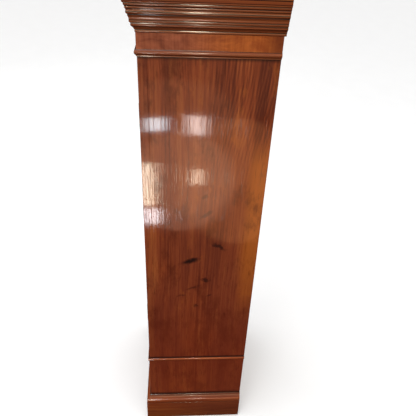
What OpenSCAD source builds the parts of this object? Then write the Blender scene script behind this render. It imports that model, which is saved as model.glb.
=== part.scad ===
// Longcase clock: a mahogany case with a glazed door, a lift-forward hood with an arched dial,
// and a weight-driven eight-day movement with a seconds-beating pendulum.
// Millimetres. The origin is the centre of the footprint on the floor, +Z is up and the dial
// faces -Y. Every module draws one named piece where it sits in the finished clock.

/* [Trunk] */
// Width of the trunk over its side boards
trunk_w = 400; // [396:1:404]
// Depth of the trunk from its front face to the wall side
trunk_d = 300; // [296:1:310]
// Height of the trunk, where the hood rests
trunk_h = 1392; // [1390:1:1410]
// Thickness of the side boards
side_t = 19; // [16:1:20]
// Thickness of the front frame
front_t = 20; // [18:1:20]
// Height of the lower bead, above which the door starts
waist_z = 283; // [270:1:290]

/* [Plinth] */
// Height of the plinth's flat skirt
skirt_h = 78; // [70:1:84]
// Projection of the plinth from the trunk
skirt_p = 13.7; // [12:0.1:16]

/* [Hood] */
// Overhang of the hood and its moulding behind the trunk
hood_back = 4; // [0:1:6]
// Projection of the moulding that carries the hood
throat_p = 46; // [45:1:50]
// Height of the turned columns with their brasses
column_h = 477; // [477:1:480]
// Radius of a hood column at its foot
column_r = 13; // [11:0.5:13]

/* [Dial] */
// Width of the square part of the brass dial
dial_w = 305; // [300:1:305]
// Radius of the dial's arch
arch_r = 106; // [100:1:106]
// Outer radius of the chapter ring
ring_r = 138; // [134:1:140]

/* [Movement] */
// Height of the dial centre above the hood's seat
centre_rise = 208; // [208:1:210]
// Distance between the inner faces of the movement plates
plate_gap = 60; // [60:1:62]
// Thickness of a movement plate
plate_t = 3.5; // [3:0.1:4]

/* [Pendulum and weight] */
// Radius of the pendulum bob
bob_r = 85; // [70:1:88]
// Radius of the weight shell
weight_r = 31; // [28:1:31]
// Height of the weight shell
weight_h = 210; // [180:1:215]
// Diameter of the weight line
line_d = 1.6; // [1.2:0.1:1.6]

/* [Hidden] */
$fn = 64;

mahogany = [0.36, 0.13, 0.06];
mahogany_light = [0.52, 0.22, 0.09];
deal = [0.72, 0.58, 0.40];
brass = [0.80, 0.63, 0.30];
silvered = [0.86, 0.86, 0.82];
steel = [0.60, 0.61, 0.63];
blued = [0.08, 0.10, 0.22];
clear = [0.75, 0.88, 0.90, 0.35];

half_w = trunk_w / 2;
inner_w = half_w - side_t;
cornice_reach = 70;
front_y = -(trunk_d + hood_back - cornice_reach) / 2;
back_y = front_y + trunk_d;
rear_y = back_y + hood_back;
back_t = 12;
stile_w = 45;
open_w = half_w - stile_w;
mitre = 90;

door_z0 = waist_z + 49;
door_z1 = trunk_h - 194;
door_gap = 1;
door_free_gap = 1.5;
door_proud = 3;
door_t = 19;
door_stile = 38;
hinge_y = front_y - 2.2;
hinge_x = open_w;
hinge_r = 2;
hinge_pin_r = 1;
hinge_h = 64;
hinge_zs = [door_z0 + 118, door_z1 - 118];
lock_z = (door_z0 + door_z1) / 2 + 30;
lock_x = -open_w + 18;

base_h = 24;
post_z0 = trunk_h + base_h;
post_z1 = post_z0 + column_h;
hood_w = 223;
hood_t = 16;
hood_clear = 204;
post_y0 = front_y - 6;
column_x = 204.5;
column_y = front_y - 22;
frieze_top = post_z1 + 28;
cornice_top = frieze_top + 32;
board_t = 12;
neck_z0 = cornice_top;
scroll_x = 42;
scroll_z = cornice_top + 122;
scroll_r = 22;
neck_w = 27;

dial_z = trunk_h + centre_rise;
arch_z = dial_z + 148;
dial_y = front_y + 19;
hood_open_w = 148;
hood_door_w = 183.5;
pivot_x = 181;
pivot_y = front_y - 11;
catch_x = -171;
catch_z = dial_z + 40;

seat_z = trunk_h + 108;
plate_y = front_y + 46.5;
plate_w = 60;
plate_top = dial_z + 112;
barrel_z = dial_z - 46.8;
third = [7.75, dial_z + 33.1];
escape_z = dial_z + 62;
pivot_z = dial_z + 97;
stud_x = 24.6;
drum_r = 17.2;
pulley_r = 20;
pulley_x = 2;
pulley_y = plate_y + 32;
pulley_z = trunk_h - 242;
weight_z = pulley_z - 40 - weight_h;
swing_y = front_y + 152;
bob_z = dial_z - 900;
bob_t = 36;
rod_r = 4;
crutch_l = 97;
fit = 0.08;

// ---- Outlines -------------------------------------------------------------------------------

// A stretch of moulding from one [projection, height] to the next, bulging by b.
function swell(p0, z0, p1, z1, b, n = 6) =
    let (dp = p1 - p0, dz = z1 - z0, l = norm([dp, dz]))
    [for (i = [0 : n]) let (t = i / n, s = b * sin(180 * t)) [p0 + dp * t + s * dz / l, z0 + dz * t - s * dp / l]];

// A gear's outline: straight-sided teeth, the first one on the angle a0.
function gear(teeth, module_size, a0, add = 0.8, ded = 1.2, tip = 0.12, root = 0.46) =
    let (r = teeth * module_size / 2, half = 180 / teeth)
    [for (i = [0 : teeth - 1], k = [[-root, -ded], [-tip, add], [tip, add], [root, -ded]])
        let (a = a0 + 2 * half * i + half * k[0], q = r + k[1] * module_size) [q * cos(a), q * sin(a)]];

// A pinion's outline: the same, with slim leaves.
function pinion(leaves, module_size, a0) = gear(leaves, module_size, a0, 0.5, 1.45, 0.18, 0.30);

// A smooth step from 0 to 1, and its place along a swan neck from the corner to the scroll.
function ease(t) = t * t * (3 - 2 * t);
function neck_point(t, lift) = let (x0 = 217, x1 = scroll_x + 14)
    [x0 + (x1 - x0) * t, neck_z0 + 14 + (scroll_z - neck_z0 - 6) * ease(t) + lift];

// ---- Placing --------------------------------------------------------------------------------

// Extrudes a front-view outline (X, Z) between two depths.
module face(y0, y1) translate([0, y1, 0]) rotate([90, 0, 0]) linear_extrude(y1 - y0) children();

// Extrudes a side-view outline (Y, Z) between two X positions.
module flank(x0, x1) translate([x0, 0, 0]) rotate([90, 0, 90]) linear_extrude(x1 - x0) children();

module box(lo, hi) translate(lo) cube(hi - lo);
module both_sides() { children(); mirror([1, 0, 0]) children(); }

// A shape turned about the Y axis at (x, z), between depths u0 and u1 behind the front plate.
module slab(x, z, u0, u1) translate([x, plate_y + u1, z]) rotate([90, 0, 0]) linear_extrude(u1 - u0) children();
module disc(x, z, u0, u1, r) slab(x, z, u0, u1) circle(r);

// A moulding section run down the left side, across the front and down the right side.
module u_run(section, hw, y0, y1, z0) {
    reach = 400;
    intersection() {
        translate([-reach, y0, z0]) rotate([90, 0, 90]) linear_extrude(2 * reach) mirror([1, 0]) polygon(section);
        linear_extrude(3000) polygon([[-hw, y0], [hw, y0], [hw + mitre, y0 - mitre], [-hw - mitre, y0 - mitre]]);
    }
    both_sides() intersection() {
        translate([hw, y1, z0]) rotate([90, 0, 0]) linear_extrude(y1 - y0 + mitre) polygon(section);
        linear_extrude(3000) polygon([[hw, y0], [hw, y1], [hw + mitre, y1], [hw + mitre, y0 - mitre]]);
    }
}

function plank(p, h) = [[0, 0], [p, 0], [p, h], [0, h]];

module break_arch(hw, z0, z1, r, cz) {
    translate([-hw, z0]) square([2 * hw, z1 - z0]);
    translate([0, cz]) circle(r);
}

// ---- Case -----------------------------------------------------------------------------------

module plinth_skirt() color(mahogany) u_run(plank(skirt_p, skirt_h), half_w, front_y, back_y, 0);

module plinth_moulding() color(mahogany)
    u_run(concat([[0, 0], [skirt_p, 0]], swell(skirt_p - 0.6, 1.5, 5, 26, 1.2), [[5.8, 26.5], [5.8, 28]],
        swell(4.2, 29.5, 1.5, 33, -0.6, 3), [[0, 33]]), half_w, front_y, back_y, skirt_h);

module bottom_board() color(deal)
    box([-inner_w, front_y + front_t, 96], [inner_w, back_y - back_t, 108]);

module right_side_board() color(mahogany) {
    box([inner_w, front_y + front_t, 0], [half_w, back_y, trunk_h]);
    box([inner_w, front_y + 30, trunk_h], [half_w, back_y - back_t, seat_z - 18]);
}

module left_side_board() mirror([1, 0, 0]) right_side_board();

module back_board() color(deal) difference() {
    union() {
        box([-inner_w, back_y - back_t, 0], [inner_w, back_y, trunk_h]);
        box([1 - hood_clear, back_y - back_t, trunk_h], [hood_clear - 1, back_y, post_z1 - 13]);
    }
    box([-0.8, back_y - 1.5, -1], [0.8, back_y + 1, post_z1]);
}

// A raised-and-fielded panel: flat in the middle, bevelled down to a thin edge.
module base_panel() color(mahogany) {
    z0 = 128;
    z1 = waist_z - 15;
    field = 22;
    intersection() {
        flank(-open_w, open_w) polygon([[front_y + 18, z0], [front_y + 10, z0], [front_y + 8, z0 + field],
            [front_y + 3, z0 + field], [front_y + 3, z1 - field], [front_y + 8, z1 - field],
            [front_y + 10, z1], [front_y + 18, z1]]);
        linear_extrude(trunk_h) polygon([[-open_w, front_y + 18], [-open_w, front_y + 10],
            [-open_w + field, front_y + 8], [-open_w + field, front_y + 3], [open_w - field, front_y + 3],
            [open_w - field, front_y + 8], [open_w, front_y + 10], [open_w, front_y + 18]]);
    }
}

module trunk_front_frame() color(mahogany) difference() {
    face(front_y, front_y + front_t) difference() {
        translate([-half_w, 0]) square([trunk_w, trunk_h]);
        translate([-open_w, 128]) square([2 * open_w, waist_z - 143]);
        translate([-open_w, door_z0 - door_gap]) square([2 * open_w, door_z1 - door_z0 + 2 * door_gap]);
    }
    for (z = hinge_zs)
        box([open_w - 1, front_y - 1, z - hinge_h / 2], [open_w + 1.4, front_y + 14, z + hinge_h / 2]);
    box([-open_w - 9, front_y + 7.4, lock_z - 17], [-open_w + 1, front_y + 12.6, lock_z - 3]);
}

module trunk_beads() color(mahogany_light) {
    u_run(concat([[0, 0]], swell(2.4, 0, 1.8, 12, 2.3, 8), [[0, 12]]), half_w, front_y, back_y, waist_z);
    u_run(concat([[0, 0], [1.5, 0]], swell(1.6, 0.5, 3.6, 4, -0.5, 3), swell(4.2, 4.4, 3, 14, 2, 8), [[0, 14]]),
        half_w, front_y, back_y, trunk_h - 163);
}

module frieze() color(mahogany_light) u_run(plank(1.2, 33), half_w, front_y, back_y, trunk_h - 149);

// Four beads between coves, then a deep cove under the ledge that the hood stands on.
module throat_moulding() color(mahogany)
    u_run(concat([[0, 0]], swell(1.6, 0, 2.2, 5, 0.6, 4), swell(2.8, 5.5, 7, 12, -0.5, 4),
        swell(7.2, 12.2, 9.4, 17.2, 0.9), [[9, 17.8], [9.4, 19.6]], swell(10.8, 20.2, 11.8, 24.6, 0.6, 4),
        swell(11.8, 25, 14.4, 34, -0.7, 5), [[13.9, 35], [14.2, 36]], swell(14.6, 36.2, 17.2, 40.6, 0.8, 4),
        swell(17.1, 41.5, 17.3, 46, -0.5, 4), swell(17.4, 46.4, 18.8, 50.4, 0.7, 4), [[18.4, 51.2]],
        swell(19, 52, 20.8, 56, 0.5, 4), [[20.6, 57]], swell(21.4, 57.6, 23.4, 61.5, 0.8, 4),
        [[24, 62], [24, 69]], swell(24.5, 70, throat_p - 1, 102, -9, 8),
        [[throat_p, 102], [throat_p, 116], [0, 116]]), half_w, front_y, rear_y, trunk_h - 116);

module seat_board() color(deal) difference() {
    box([-half_w, front_y + 32, seat_z - 18], [half_w, front_y + 268, seat_z]);
    box([-34, front_y + 52, seat_z - 19], [17, front_y + 100, seat_z + 1]);
    translate([pulley_x + pulley_r, pulley_y, seat_z - 19]) cylinder(r = 1.5, h = 20);
    box([-26, front_y + 114, seat_z - 19], [26, front_y + 178, seat_z + 1]);
}

module trunk_hinge_plates() color(brass) for (z = hinge_zs) {
    box([hinge_x, front_y, z - hinge_h / 2], [hinge_x + 1.4, front_y + 14, z + hinge_h / 2]);
    for (s = [[-hinge_h / 2, -11], [11, hinge_h / 2]]) {
        box([hinge_x, hinge_y, z + s[0]], [hinge_x + 1.4, front_y, z + s[1]]);
        translate([hinge_x, hinge_y, z + s[0]]) cylinder(r = hinge_r, h = s[1] - s[0]);
    }
    translate([hinge_x, hinge_y, z - hinge_h / 2]) cylinder(r = hinge_pin_r, h = hinge_h);
}

// ---- Dial -----------------------------------------------------------------------------------

module dial_plate() color(brass) {
    difference() {
        face(dial_y, dial_y + 2.5) difference() {
            break_arch(dial_w / 2, dial_z - dial_w / 2, dial_z + dial_w / 2, arch_r, arch_z);
            translate([0, dial_z]) circle(6.5);
            translate([0, barrel_z]) circle(5.5);
            translate([0, escape_z]) circle(2.2);
        }
    }
    for (x = [-52, 52], z = [dial_z - 90, dial_z + 104])
        translate([x, front_y + 43, z]) rotate([90, 0, 0]) cylinder(r = 3.5, h = 21.5);
}

module chapter_ring() color(silvered) {
    face(dial_y - 2, dial_y) translate([0, dial_z]) difference() {
        circle(ring_r);
        circle(ring_r - 40);
    }
    face(dial_y - 1, dial_y) translate([0, escape_z]) difference() {
        circle(29);
        circle(17);
    }
}

// Cast corner pieces: a boss between two scrolling leaves, and a boss in the arch.
module dial_spandrels() color(brass) face(dial_y - 1.8, dial_y) {
    for (sx = [-1, 1], sz = [-1, 1]) translate([sx * 127, dial_z + sz * 127]) scale([sx, sz]) {
        translate([3, 3]) circle(14);
        translate([-14, 12]) circle(9);
        translate([12, -14]) circle(9);
        translate([-27, 14]) circle(7);
        translate([14, -27]) circle(7);
    }
    translate([0, arch_z + 52]) circle(36);
    for (s = [-1, 1]) {
        translate([s * 42, arch_z + 40]) circle(10);
        translate([s * 56, arch_z + 32]) circle(8);
    }
}

// ---- Movement frame -------------------------------------------------------------------------

module plate_2d() difference() {
    translate([-plate_w, seat_z]) square([2 * plate_w, plate_top - seat_z]);
    for (q = [[0, barrel_z, 3], [0, dial_z, 2.4], [third[0], third[1], 1.2], [0, escape_z, 1.3], [0, pivot_z, 1.6]])
        translate([q[0], q[1]]) circle(q[2] + fit);
}

module movement_plates() color(brass) {
    slab(0, 0, -plate_t, 0) plate_2d();
    slab(0, 0, plate_gap, plate_gap + plate_t) plate_2d();
    disc(stud_x, dial_z, -17, -plate_t, 1.5);
}

module movement_pillars() color(brass)
    for (x = [-50, 50], z = [seat_z + 12, plate_top - 12])
        translate([x, plate_y, z]) rotate([-90, 0, 0]) rotate_extrude()
            polygon(concat([[0, 0], [7, 0], [7, 4]], swell(4, 6, 4, plate_gap / 2 - 4, 0.6, 4),
                [[6.5, plate_gap / 2 - 2], [6.5, plate_gap / 2 + 2]],
                swell(4, plate_gap / 2 + 4, 4, plate_gap - 6, 0.6, 4), [[7, plate_gap - 4], [7, plate_gap], [0, plate_gap]]));

// A bridge on the back plate that carries the anchor's pivot and the pendulum's spring.
module back_cock() color(brass) {
    u0 = plate_gap + plate_t;
    both_sides() slab(0, 0, u0, u0 + 8) translate([26, pivot_z - 10]) square([9, 20]);
    difference() {
        slab(0, 0, u0 + 8, u0 + 12) translate([-35, pivot_z - 10]) square([70, 20]);
        disc(0, pivot_z, u0 + 7, u0 + 13, 1.6 + fit);
    }
    difference() {
        box([-7, plate_y + u0 + 12, pivot_z + 3], [7, swing_y + 9, pivot_z + 10]);
        box([-0.25, swing_y - 6, pivot_z + 2], [0.25, swing_y + 6, pivot_z + 11]);
    }
}

// The line from the barrel, down round the pulley, and up to its knot on the seat board.
module weight_line() color([0.75, 0.62, 0.42]) {
    top_z = seat_z + 3;
    for (s = [[pulley_x - pulley_r, barrel_z], [pulley_x + pulley_r, top_z]])
        translate([s[0], pulley_y, pulley_z]) cylinder(d = line_d, h = s[1] - pulley_z, $fn = 16);
    translate([pulley_x, pulley_y, pulley_z]) rotate([90, 0, 0]) rotate([0, 0, 180])
        rotate_extrude(angle = 180) translate([pulley_r, 0]) circle(d = line_d, $fn = 16);
    translate([pulley_x + pulley_r, pulley_y, top_z]) sphere(r = 3, $fn = 24);
}

// ---- Trunk door -----------------------------------------------------------------------------

door_x0 = -open_w + door_free_gap;
door_x1 = open_w - door_gap;
sight = [door_x0 + door_stile, door_z0 + 55, door_x1 - door_stile, door_z1 - 45];

module sight_2d(grow) translate([sight[0] - grow, sight[1] - grow])
    square([sight[2] - sight[0] + 2 * grow, sight[3] - sight[1] + 2 * grow]);

module trunk_door_frame() color(mahogany) difference() {
    union() {
        face(front_y - door_proud, front_y - door_proud + door_t) difference() {
            translate([door_x0, door_z0]) square([door_x1 - door_x0, door_z1 - door_z0]);
            sight_2d(0);
        }
        face(front_y - door_proud - 3, front_y - door_proud) difference() {
            sight_2d(7);
            sight_2d(0);
        }
    }
    face(front_y + 4, front_y + 17) sight_2d(6);
    for (z = hinge_zs) {
        translate([hinge_x, hinge_y, z - hinge_h / 2 - 2]) cylinder(r = hinge_r + 0.6, h = hinge_h + 4);
        box([door_x1 - 1.4, front_y - 4, z - hinge_h / 2], [door_x1 + 1, front_y + 14, z + hinge_h / 2]);
    }
    box([lock_x - 15, front_y + 2, lock_z - 24], [lock_x + 15, front_y + 17, lock_z + 16]);
    box([door_x0 - 1, front_y + 7.4, lock_z - 17], [lock_x - 14, front_y + 12.6, lock_z - 3]);
    translate([lock_x, front_y + 3, lock_z]) rotate([90, 0, 0]) cylinder(r = 3, h = 12);
}

module trunk_door_glass() color(clear) face(front_y + 4, front_y + 7) sight_2d(6);

module trunk_hinge_leaves() color(brass) for (z = hinge_zs) difference() {
    union() {
        box([door_x1 - 1.4, front_y + 0.2, z - hinge_h / 2], [door_x1, front_y + 14, z + hinge_h / 2]);
        box([door_x1 - 1.4, hinge_y, z - 10.7], [door_x1, front_y + 0.3, z + 10.7]);
        translate([hinge_x, hinge_y, z - 10.7]) cylinder(r = hinge_r, h = 21.4);
    }
    translate([hinge_x, hinge_y, z - 12]) cylinder(r = hinge_pin_r + fit, h = 24);
}

// Lock case behind the stile, with a way for the bolt, a chamber for the key's bit, and the
// escutcheon in front.
module trunk_lock() color(brass) {
    difference() {
        box([lock_x - 15, front_y + 2, lock_z - 24], [lock_x + 15, front_y + 17, lock_z + 16]);
        box([lock_x - 16, front_y + 7.6, lock_z - 16.4], [lock_x + 14, front_y + 12.4, lock_z - 3.6]);
        translate([lock_x, front_y + 6.6, lock_z]) rotate([90, 0, 0]) cylinder(r = 9, h = 3.2);
        translate([lock_x, front_y + 8, lock_z]) rotate([90, 0, 0]) cylinder(r = 2.2, h = 12);
    }
    face(front_y - door_proud - 1.5, front_y - door_proud) difference() {
        union() {
            translate([lock_x, lock_z]) circle(9);
            translate([lock_x, lock_z - 10]) circle(6);
            translate([lock_x, lock_z + 10]) circle(6);
        }
        translate([lock_x, lock_z]) circle(3);
    }
}

module lock_bolt() color(steel)
    box([door_x0 + 0.3, front_y + 8, lock_z - 16], [lock_x + 12, front_y + 12, lock_z - 4]);

module trunk_key() color(steel) {
    translate([lock_x, front_y + 6, lock_z]) rotate([90, 0, 0]) cylinder(r = 2.1, h = 17);
    box([lock_x - 1, front_y + 3.8, lock_z + 1.5], [lock_x + 1, front_y + 6, lock_z + 8]);
    translate([lock_x, front_y - 7.5, lock_z]) rotate([90, 0, 0]) cylinder(r = 3.2, h = 2.5);
    flank(lock_x - 1.2, lock_x + 1.2) translate([front_y - 18.5, lock_z]) difference() {
        circle(8.5);
        circle(5.6);
    }
}

// ---- Hood -----------------------------------------------------------------------------------

module hood_base() color(mahogany) difference() {
    u_run(concat([[0, 0], [36, 0], [36, 13]], swell(36, 13.4, 32, 20, 1.2, 5), [[31, 20.5], [31, base_h], [0, base_h]]),
        hood_clear, front_y - 4, rear_y, trunk_h);
    translate([pivot_x, pivot_y, trunk_h + 12]) cylinder(r = 3 + fit, h = 20);
}

module window_2d(grow) {
    translate([front_y + 90 - grow, post_z0 + 64 - grow]) square([140 + 2 * grow, 250 + grow]);
    translate([front_y + 160, post_z0 + 314]) circle(70 + grow);
}

// Side boards with arched windows, and the posts that the columns stand before.
module hood_sides() color(mahogany) difference() {
    both_sides() {
        flank(hood_w - hood_t, hood_w) difference() {
            translate([front_y + 12, post_z0]) square([rear_y - front_y - 12, post_z1 - post_z0]);
            window_2d(0);
        }
        box([186, post_y0, post_z0], [hood_w, front_y + 12, post_z1]);
    }
    box([-195, front_y + 7.6, catch_z - 6], [-185, front_y + 13, catch_z + 11]);
}

module hood_side_glass() color(clear) both_sides()
    flank(hood_w - hood_t - 2.8, hood_w - hood_t) window_2d(8);

column_foot = 22;

module hood_columns() color(mahogany) for (s = [-1, 1]) translate([s * column_x, column_y, 0])
    rotate_extrude() polygon(concat([[0, post_z0 + column_foot]],
        swell(column_r, post_z0 + column_foot, column_r - 2, post_z1 - column_foot, 0.8, 10),
        [[0, post_z1 - column_foot]]));

// Base and capital of each column, and the rosettes on the scrolls.
module hood_brasses() color(brass) {
    for (s = [-1, 1]) translate([s * column_x, column_y, 0]) {
        for (end = [[post_z0, 1], [post_z1, -1]]) translate([0, 0, end[0]]) scale([1, 1, end[1]]) {
            translate([-16, -16, 0]) cube([32, 32, 6]);
            rotate_extrude() polygon(concat([[0, 6]], swell(15, 6, 14.5, 13, 0.9, 5), [[13.6, 14]],
                swell(14.4, 15, 13.4, column_foot, -0.6, 4), [[0, column_foot]]));
        }
    }
    both_sides() translate([scroll_x, front_y - 52, scroll_z]) rotate([90, 0, 0])
        rotate_extrude() polygon(concat([[0, 0]], swell(17, 0, 12, 4, 0.9, 4), swell(8, 4, 0, 8, 1.2, 4)));
}

module hood_mask() color(mahogany) face(front_y + 12, front_y + 17) difference() {
    translate([-hood_clear, post_z0]) square([2 * hood_clear, post_z1 - post_z0]);
    break_arch(hood_open_w - 2, dial_z - 144, dial_z + 148, 100, arch_z);
}

module hood_top_board() color(deal)
    box([-hood_w, front_y - 34, frieze_top], [hood_w, rear_y, frieze_top + board_t]);

module hood_frieze() color(mahogany_light) difference() {
    u_run(plank(30, 28), hood_w - 30, front_y - 4, rear_y, post_z1);
    translate([pivot_x, pivot_y, post_z1 - 1]) cylinder(r = 3 + fit, h = 12);
}

module hood_cornice() color(mahogany)
    u_run(concat([[0, 0], [3, 0]], swell(3, 1, 8, 8, 1.2), [[9, 8.5], [9, 11]], swell(10, 12, 26, 30, -5, 8),
        [[28, 30.5], [28, 33]], swell(29, 34, 36, 43, 1.4, 5), [[36, 48], [0, 48]]),
        hood_w, front_y - 34, rear_y, cornice_top - 48);

neck_steps = 14;

// The board behind the swan necks, which drops between the scrolls.
module hood_tympanum() color(mahogany) {
    half = concat([[217, frieze_top + board_t]], [for (i = [0 : neck_steps]) neck_point(i / neck_steps, 0)],
        [[scroll_x - 24, scroll_z - 14], [scroll_x - 28, scroll_z - 60]]);
    face(front_y - 34, front_y - 22)
        polygon(concat(half, [for (i = [len(half) - 1 : -1 : 0]) [-half[i][0], half[i][1]]]));
}

// The broken pediment's two S-shaped mouldings, each ending in a scroll.
module swan_necks() color(mahogany_light) both_sides() face(front_y - 52, front_y - 34) {
    polygon(concat([for (i = [0 : neck_steps]) neck_point(i / neck_steps, neck_w / 2)],
        [for (i = [neck_steps : -1 : 0]) neck_point(i / neck_steps, -neck_w / 2)]));
    translate([scroll_x, scroll_z]) circle(scroll_r);
}

block_top = cornice_top + 28;
plinth_top = cornice_top + 87;

module finial_blocks() color(mahogany) {
    box([-15, front_y - 60, cornice_top], [15, front_y - 34, plinth_top - 6]);
    box([-17, front_y - 62, plinth_top - 6], [17, front_y - 34, plinth_top]);
    both_sides() {
        box([219, front_y - 66, cornice_top], [255, front_y - 30, block_top - 5]);
        box([217.5, front_y - 67.5, block_top - 5], [256.5, front_y - 28.5, block_top]);
    }
}

// A turned vase with a ball and spike, h tall.
module finial(h) rotate_extrude() polygon(concat([[0, 0], [0.13 * h, 0], [0.13 * h, 0.05 * h]],
    swell(0.06 * h, 0.08 * h, 0.06 * h, 0.16 * h, -0.02 * h, 5), swell(0.10 * h, 0.20 * h, 0.13 * h, 0.48 * h, 0.06 * h, 8),
    [[0.07 * h, 0.53 * h]], swell(0.05 * h, 0.55 * h, 0.05 * h, 0.72 * h, 0.08 * h, 8),
    [[0.03 * h, 0.74 * h], [0.008 * h, 0.98 * h], [0, h]]));

module finials() color(brass) {
    translate([0, front_y - 47, plinth_top]) finial(110);
    both_sides() translate([237, front_y - 48, block_top]) finial(95);
}

// ---- Hood door ------------------------------------------------------------------------------

hood_door_z0 = post_z0 + 3;
hood_door_z1 = post_z1 - 4;

module hood_door_frame() color(mahogany) difference() {
    face(front_y - 14, front_y + 8) difference() {
        translate([-hood_door_w, hood_door_z0]) square([2 * hood_door_w, hood_door_z1 - hood_door_z0]);
        break_arch(hood_open_w, dial_z - 147, dial_z + 150, 103, arch_z);
    }
    face(front_y + 1, front_y + 9) break_arch(hood_open_w + 5, dial_z - 152, dial_z + 152, 108, arch_z);
    translate([catch_x, front_y + 9, catch_z]) rotate([90, 0, 0]) cylinder(r = 3 + fit, h = 24);
    for (z = [hood_door_z0 - 1, hood_door_z1 - 10])
        translate([pivot_x, pivot_y, z]) cylinder(r = 2, h = 11);
    for (z = [hood_door_z0 - 1, hood_door_z1 - 1.5])
        box([pivot_x - 12, pivot_y - 4, z], [pivot_x + 3, pivot_y + 4, z + 2.5]);
}

module hood_door_glass() color(clear) face(front_y + 1, front_y + 4)
    break_arch(hood_open_w + 5, dial_z - 152, dial_z + 152, 108, arch_z);

// A plate let into the door's end, with a pin that turns in the hood and a tail that holds the plate.
module door_pivot() {
    box([-12, -4, -1.5], [2.5, 4, 0]);
    cylinder(r = 3, h = 10);
    translate([0, 0, -10]) cylinder(r = 2, h = 10);
}

module hood_door_pivots() color(brass) {
    translate([pivot_x, pivot_y, hood_door_z1]) door_pivot();
    translate([pivot_x, pivot_y, hood_door_z0]) mirror([0, 0, 1]) door_pivot();
}

// A turning latch: knob in front, tongue behind, shown released.
module hood_door_catch() color(brass) {
    translate([catch_x, front_y + 8.4, catch_z]) rotate([90, 0, 0]) cylinder(r = 3, h = 25);
    translate([catch_x, front_y - 14.3, catch_z]) rotate([90, 0, 0]) rotate_extrude()
        polygon(concat([[0, 0], [8, 0], [8, 1.6]], swell(4, 3, 4, 6, -0.6, 3), swell(7.5, 7.5, 7.5, 13, 1.6, 5), [[0, 14.4]]));
    face(front_y + 8.4, front_y + 11) {
        translate([catch_x, catch_z]) circle(5);
        translate([catch_x - 4, catch_z]) square([8, 17]);
    }
}

// ---- Wheels ---------------------------------------------------------------------------------

// A wheel with its arms crossed out.
module crossed(outline, rim_r, hub_r, arms, arm_w) {
    difference() {
        polygon(outline);
        circle(rim_r);
    }
    circle(hub_r);
    for (i = [0 : arms - 1]) rotate(i * 360 / arms + 45) translate([0, -arm_w / 2]) square([rim_r + 0.5, arm_w]);
}

// Angle of the line from one arbor to another.
function towards(a, b) = atan2(b[1] - a[1], b[0] - a[0]);

barrel_c = [0, barrel_z];
centre_c = [0, dial_z];
escape_c = [0, escape_z];
stud_c = [stud_x, dial_z];

module barrel() color(brass) {
    disc(0, barrel_z, -28, -14, 3);
    slab(0, barrel_z, -30.5, -28) rotate(45) square(4.2, center = true);
    disc(0, barrel_z, -14, plate_gap + plate_t, 3);
    slab(0, barrel_z, 12, 14) circle(18, $fn = 12);
    for (u = [14, 48]) disc(0, barrel_z, u, u + 2, 22);
    disc(0, barrel_z, 16, 48, drum_r);
}

module great_wheel() color(brass) difference() {
    union() {
        slab(0, barrel_z, 8, 11)
            crossed(gear(96, 0.9, towards(barrel_c, centre_c)), 37, 9, 5, 7);
        disc(0, barrel_z, 5, 8, 7);
        slab(0, barrel_z, 11, 13.6) translate([20, 8]) circle(2.6);
        slab(0, barrel_z, 11, 13.6) rotate(40) translate([19, -12]) square([3, 12]);
    }
    disc(0, barrel_z, 4, 12, 3 + fit);
}

module centre_wheel() color(brass) {
    slab(0, dial_z, 52, 54) crossed(gear(60, 1, towards(centre_c, third)), 25.5, 6, 4, 5);
    slab(0, dial_z, 5, 14) polygon(pinion(8, 0.9, towards(centre_c, barrel_c) + 22.5));
    disc(0, dial_z, 0.3, plate_gap - 0.3, 2);
    disc(0, dial_z, -plate_t - 0.5, 0.4, 2.4);
    disc(0, dial_z, -39.5, -plate_t, 1.6);
    disc(0, dial_z, plate_gap - 0.4, plate_gap + plate_t, 2.4);
}

module minute_hand() color(blued) {
    difference() {
        union() {
            slab(0, dial_z, -8.5, -6.5) polygon(gear(24, 0.5125, 0, 0.5, 1.2, 0.18, 0.36));
            disc(0, dial_z, -37, -4.2, 3.4);
            slab(0, dial_z, -37, -35.5) {
                circle(8);
                polygon([[-2.6, 0], [-1.6, 96], [0, 122], [1.6, 96], [2.6, 0]]);
                translate([0, 86]) circle(6);
                polygon([[-2, 0], [-3, -26], [3, -26], [2, 0]]);
            }
        }
        disc(0, dial_z, -38, -4, 1.6);
    }
}

module third_wheel() color(brass) {
    slab(third[0], third[1], 40, 42) crossed(gear(56, 0.95, towards(third, escape_c)), 22.5, 5, 4, 4.5);
    slab(third[0], third[1], 49, 57) polygon(pinion(8, 1, towards(third, centre_c) + 22.5));
    disc(third[0], third[1], 0.3, plate_gap - 0.3, 1.6);
    disc(third[0], third[1], -plate_t, plate_gap + plate_t, 1.2);
}

// Thirty raked teeth, locked and let go in turn by the anchor.
module escape_wheel() color(brass) {
    tip_r = 24;
    slab(0, escape_z, 30, 32) crossed([for (i = [0 : 29], k = [[0, tip_r], [0.9, tip_r], [8, 19.6], [13, 19.4]])
        [k[1] * cos(12 * i + k[0]), k[1] * sin(12 * i + k[0])]], 16.5, 4, 4, 3);
    slab(0, escape_z, 37, 45) polygon(pinion(7, 0.95, towards(escape_c, third) + 180 / 7));
    disc(0, escape_z, 0.3, plate_gap - 0.3, 1.5);
    disc(0, escape_z, -29.4, plate_gap + plate_t, 1.3);
}

module seconds_hand() color(blued) difference() {
    union() {
        slab(0, escape_z, -29.6, -28.8) {
            circle(3.2);
            polygon([[-0.9, 0], [-0.4, 25.5], [0.4, 25.5], [0.9, 0]]);
            polygon([[-1.2, 0], [-1.6, -9], [1.6, -9], [1.2, 0]]);
        }
        disc(0, escape_z, -28.8, -25, 2);
    }
    disc(0, escape_z, -30, -24, 1.3);
}

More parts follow.
